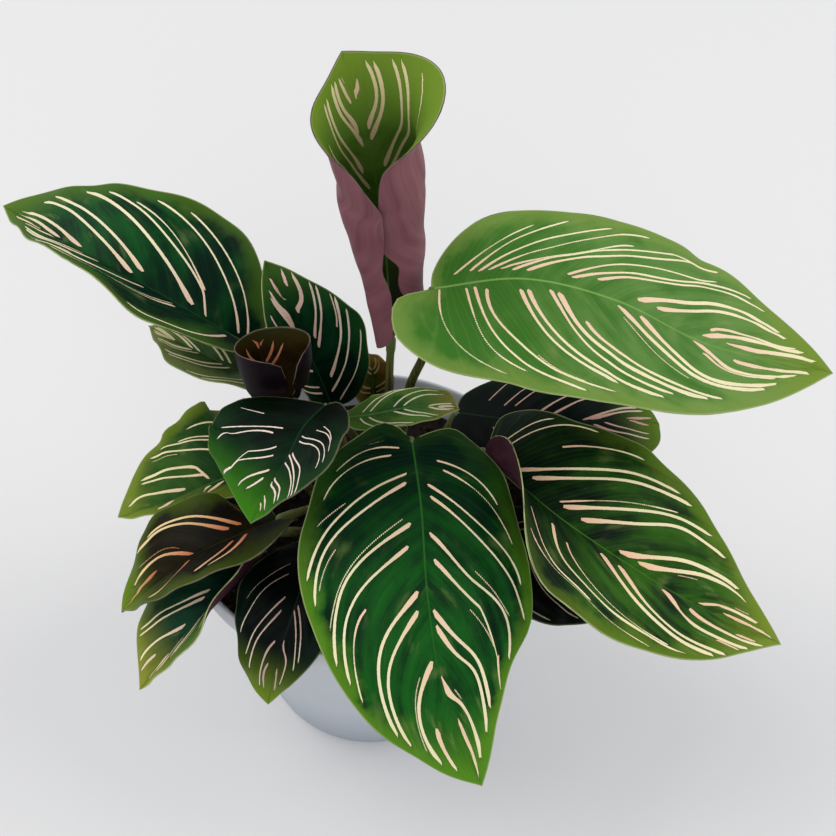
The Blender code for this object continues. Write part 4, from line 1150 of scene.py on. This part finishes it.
def make_pot():
    """The pot's tapered wall with its floor, its foot ring and the band round its rim."""
    band = POT_HEIGHT - BAND_HEIGHT
    r = RIM_RADIUS
    step = RIM_RADIUS - BAND_STEP
    low = BASE_RADIUS
    profile = [
        (0, 0.9), (low - 9, 0.9), (low - 8, 0.6), (low - 7.4, 0), (low - 2, 0), (low - 0.9, 0.25),
        (low - 0.25, 0.8), (low + 0.1, 1.8), (low + 2, 9), (low + 0.35 * (step - low), 0.35 * band),
        (low + 0.7 * (step - low), 0.7 * band), (step - 0.3, band - 1.6), (step - 0.1, band - 0.7),
        (step - 0.5, band - 0.35), (step - 0.5, band + 0.05), (r - 0.7, band - 0.05),
        (r - 0.2, band + 0.25), (r, band + 0.8), (r, band + 3),
        (r, POT_HEIGHT - 1.1), (r - 0.1, POT_HEIGHT - 0.5), (r - 0.4, POT_HEIGHT - 0.12),
        (r - 0.8, POT_HEIGHT), (r - 1.2, POT_HEIGHT - 0.12), (r - WALL, POT_HEIGHT - 0.6),
        (r - WALL - 0.3, POT_HEIGHT - 2), (inner_radius(band) + 0.3, band + 0.6), (inner_radius(band), band),
        (inner_radius(60), 60), (inner_radius(30), 30), (inner_radius(FLOOR + 1.5), FLOOR + 1.5),
        (inner_radius(FLOOR) - 1.5, FLOOR), (0, FLOOR),
    ]
    return turned_piece("pot_shell", profile, POT_STEPS)


def pot_plastic():
    """Injection-moulded polypropylene: a cool pale grey that looks slightly milky, with a faint
    eggshell texture, flow clouds and a soft dusty sheen."""
    made, tree, shader = new_finish("moulded_polypropylene_blue_grey", IOR=1.49)
    here = add(tree, "TexCoord").outputs["Object"]
    cloud = add(tree, "TexNoise", {"Vector": here, "Scale": 22.0, "Detail": 4.0})
    share = add(tree, "MapRange", [cloud, 0.35, 0.65])
    height = add(tree, "SeparateXYZ", [here]).outputs["Z"]
    groove = add(tree, "MapRange", [height, 0.0895, 0.0915, 0.0, 1.0])
    # painted shade: the pot turns bluer and darker towards its foot, where it lies in shade
    foot = add(tree, "MapRange", [height, 0.0, 0.05, 0.6, 0.0], **SMOOTH)
    # soil dust, a few millimetres across
    dust = add(tree, "TexNoise", {"Vector": here, "Scale": 260.0, "Detail": 5.0, "Roughness": 0.7})
    specks = add(tree, "MapRange", [dust, 0.66, 0.76, 0.0, 0.25])
    skin = add(tree, "TexNoise", {"Vector": here, "Scale": 2500.0, "Detail": 1.0})
    bump = add(tree, "Bump", {"Height": skin, "Strength": 0.08, "Distance": 0.0002})
    gloss = add(tree, "MapRange", [cloud, 0.3, 0.7, 0.36, 0.52])
    coat(tree, shader, colour("#b6bcc3"), [
        (share, colour("#c0c5cb")), (groove, colour("#c9cdd1")), (foot, colour("#8a98a6")),
        (specks, colour("#8b8880")),
    ], Roughness=gloss, Normal=bump)
    return made


def mix_grain(name, dark, brown, pale):
    """Peat and bark potting mix: damp, dull, near-black brown with fibres and a few pale grains."""
    made, tree, shader = new_finish(name, Roughness=0.9, Specular_IOR_Level=0.25, IOR=1.4)
    here = add(tree, "TexCoord").outputs["Object"]
    clods = add(tree, "TexVoronoi", {"Vector": here, "Scale": 420.0})
    fine = add(tree, "TexNoise", {"Vector": here, "Scale": 700.0, "Detail": 5.0, "Roughness": 0.7})
    share = add(tree, "MapRange", [fine, 0.35, 0.7])
    tone = add(tree, "SeparateColor", [clods.outputs["Color"]])
    grains = add(tree, "MapRange", [tone, 0.93, 0.97, 0.0, 0.7])
    relief = add(tree, "Math", [fine, clods], operation="SUBTRACT")
    bump = add(tree, "Bump", {"Height": relief, "Strength": 0.9, "Distance": 0.0012})
    coat(tree, shader, colour(dark), [(share, colour(brown)), (grains, colour(pale))], Normal=bump)
    return made


def make_mix():
    """The potting mix's lumpy surface over its plug, with a hole for each petiole."""
    draw = np.random.default_rng(5)
    low = FLOOR + SEAT_GAP
    edge = MIX_TOP - 1.0
    gap = SEAT_GAP + 0.15
    rim = inner_radius(edge) - gap
    profile = [(0, low), (0.6 * inner_radius(low), low), (inner_radius(low) - gap, low),
               (inner_radius(45) - gap, 45), (inner_radius(75) - gap, 75), (rim, edge - 0.5)]
    for k in range(MIX_RINGS):
        share = 1 - k / MIX_RINGS
        profile.append((max(rim * share - 0.4, 0.5), MIX_TOP - 0.6 + MIX_DOME * (1 - share ** 2)))
    profile.append((0, MIX_TOP + MIX_DOME - 0.6))
    made = turned_piece("mix_bed", profile, MIX_STEPS)
    mesh = made.data
    count = len(mesh.vertices)
    co = np.zeros(count * 3)
    mesh.vertices.foreach_get("co", co)
    co = co.reshape(-1, 3) / MM
    lump = np.zeros(count)
    for size, height in ((3.2, 0.45), (6.5, 0.5), (1.7, 0.25)):
        for _ in range(5):
            way = draw.normal(size=2)
            way = way / np.linalg.norm(way) * 2 * math.pi / size
            lump += height / 5 * 1.6 * np.sin(co[:, :2] @ way + draw.uniform(0, 6.28))
    inside = np.clip((rim - np.hypot(co[:, 0], co[:, 1])) / 3, 0, 1) * (co[:, 2] > edge - 0.3)
    co[:, 2] += np.clip(lump, -1.2, 0.75) * inside
    mesh.vertices.foreach_set("co", (co * MM).ravel())
    mesh.update()
    holes = []
    for leaf in LEAVES.values():
        x, y = leaf["foot"]
        depth = MIX_TOP + 8 - HOLE_BOTTOM
        bpy.ops.mesh.primitive_cylinder_add(vertices=24, radius=HOLE_RADIUS * MM, depth=depth * MM,
                                            location=(x * MM, y * MM, (HOLE_BOTTOM + depth / 2) * MM))
        holes.append(bpy.context.active_object)
    select_only(*holes)
    bpy.ops.object.join()
    cut = made.modifiers.new("petiole holes", "BOOLEAN")
    cut.operation = "DIFFERENCE"
    cut.solver = "EXACT"
    cut.object = holes[0]
    select_only(made)
    bpy.ops.object.modifier_apply(modifier=cut.name)
    bpy.data.objects.remove(holes[0], do_unlink=True)
    return made


def make_crumbs():
    """Bark chips, peat clods and a few perlite grains, half sunk in the mix's surface."""
    draw = random.Random(11)
    bpy.ops.mesh.primitive_ico_sphere_add(subdivisions=2, radius=1.0, location=(0, 0, 0))
    lump = bpy.context.active_object
    base = np.array([vertex.co for vertex in lump.data.vertices])
    faces = np.array([list(face.vertices) for face in lump.data.polygons])
    bpy.data.objects.remove(lump, do_unlink=True)
    feet = [leaf["foot"] for leaf in LEAVES.values()]
    rim = inner_radius(MIX_TOP) - 1.5
    verts = []
    polygons = []
    kinds = []
    for _ in range(CRUMBS):
        radius = rim * math.sqrt(draw.random()) * 0.97
        angle = draw.uniform(0, 2 * math.pi)
        x, y = radius * math.cos(angle), radius * math.sin(angle)
        bark = draw.random() < BARK_SHARE
        size = draw.uniform(1.0, 2.2) if bark else draw.uniform(0.5, 1.2)
        if min(math.hypot(x - a, y - b) for a, b in feet) < 2.1 + size * 1.3 or radius + size * 1.3 > rim:
            continue
        turn = draw.uniform(0, 2 * math.pi)
        stretch = (size * draw.uniform(0.9, 1.3), size * draw.uniform(0.5, 0.8),
                   size * draw.uniform(0.3, 0.6) if bark else size * 0.7)
        rough = np.array([[draw.uniform(0.78, 1.1)] for _ in base])
        lumpy = base * rough * stretch
        tilt = draw.uniform(-0.5, 0.5)
        c, s = math.cos(tilt), math.sin(tilt)
        lumpy = lumpy @ np.array([[c, 0, s], [0, 1, 0], [-s, 0, c]])
        c, s = math.cos(turn), math.sin(turn)
        lumpy = lumpy @ np.array([[c, s, 0], [-s, c, 0], [0, 0, 1]])
        top = MIX_TOP - 0.4 + MIX_DOME * (1 - (radius / rim) ** 2)
        verts.append(lumpy + (x, y, top + 0.1 * size))
        polygons.append(faces + len(base) * len(polygons))
        kinds.extend([1 if draw.random() < PERLITE_SHARE and not bark else 0] * len(faces))
    mesh = bpy.data.meshes.new("mix_crumbs")
    mesh.from_pydata((np.vstack(verts) * MM).tolist(), [], np.vstack(polygons).tolist())
    mesh.polygons.foreach_set("material_index", kinds)
    mesh.shade_smooth()
    mesh.set_sharp_from_angle(angle=math.radians(30))
    made = bpy.data.objects.new("mix_crumbs", mesh)
    bpy.context.collection.objects.link(made)
    return made


def place_piece(piece, finishes=(), node=None):
    """Gives a piece its finishes and its slot, and names the node whose place it takes."""
    for finish in finishes:
        piece.data.materials.append(finish)
    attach(piece, "root")
    if node:
        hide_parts(node)


pot = make_pot()
place_piece(pot, [pot_plastic()], "pot")
bed = make_mix()
damp_mix = mix_grain("damp_peat_mix", "#0c0806", "#2c2018", "#6a5c4a")
bed.data.materials.clear()
place_piece(bed, [damp_mix], "potting_mix")
crumbs = make_crumbs()
place_piece(crumbs, [mix_grain("bark_chips", "#120b07", "#3c2a1c", "#5c4630"),
                                    mix_grain("perlite", "#8c877c", "#c8c4b8", "#e0dcd0")])
margin = leaf_margin("leaf_margin_pale", "#a9b878", "#8a7a50")
dark_margin = leaf_margin("leaf_margin_wine", "#6c5a4c", "#3a2a24")
for name, leaf in LEAVES.items():
    rim = dark_margin if leaf["tone"] in ("black_green", "brown", "olive") else margin
    finishes = [leaf_face(name), leaf_back(name), rim, petiole_skin(name)]
    piece = leaf_object(name, leaf, STRIPES[name], finishes)
    place_piece(piece, (), name)

# Floor, camera and light
bpy.ops.mesh.primitive_plane_add(size=12, location=(0, 0, 0))
floor = bpy.context.active_object
floor.name = "floor"
# matt paper, which gives the eye an even, pale ground without a sheen
matte = new_finish("matte_paper_floor", Roughness=0.85, Specular_IOR_Level=0.2,
                   Base_Color=colour("#e9e7e5"))[0]
floor.data.materials.append(matte)

# the photo's view: 836 pixels wide, seen at a focal length of 1150 pixels
eye = bpy.data.cameras.new("camera")
eye.angle = 2 * math.atan(836 / 2 / 1150)
camera = bpy.data.objects.new("camera", eye)
camera.location = (0.019, -0.260, 0.422)
camera.rotation_euler = (math.radians(43), 0, 0)
bpy.context.collection.objects.link(camera)
bpy.context.scene.camera = camera
bpy.context.scene.view_settings.view_transform = "Standard"


def soft_light(name, place, aim, size, power, tint):
    """A round area light, metres and watts, turned to its aim."""
    data = bpy.data.lights.new(name, "AREA")
    data.shape = "DISK"
    data.size = size
    data.energy = power
    data.color = tint
    made = bpy.data.objects.new(name, data)
    made.location = place
    way = np.array(aim) - np.array(place)
    made.rotation_euler = (math.acos(-way[2] / np.linalg.norm(way)), 0, math.atan2(way[0], -way[1]) + math.pi)
    bpy.context.collection.objects.link(made)


soft_light("left_window", (-2.2, 0.6, 2.4), (0, 0, 0.1), 2.6, 39, (1.0, 0.985, 0.96))
soft_light("right_fill", (2.4, 0.2, 1.9), (0, 0, 0.1), 2.2, 28, (1.0, 0.995, 0.985))
soft_light("front_fill", (0.3, -3.0, 2.2), (0, 0, 0.05), 2.4, 26, (0.94, 0.97, 1.0))
world = bpy.data.worlds.new("room")
bpy.context.scene.world = world
world.use_nodes = True
feed(world.node_tree, world.node_tree.nodes["Background"], {"Color": colour("#e8ecf2"), "Strength": 0.68})
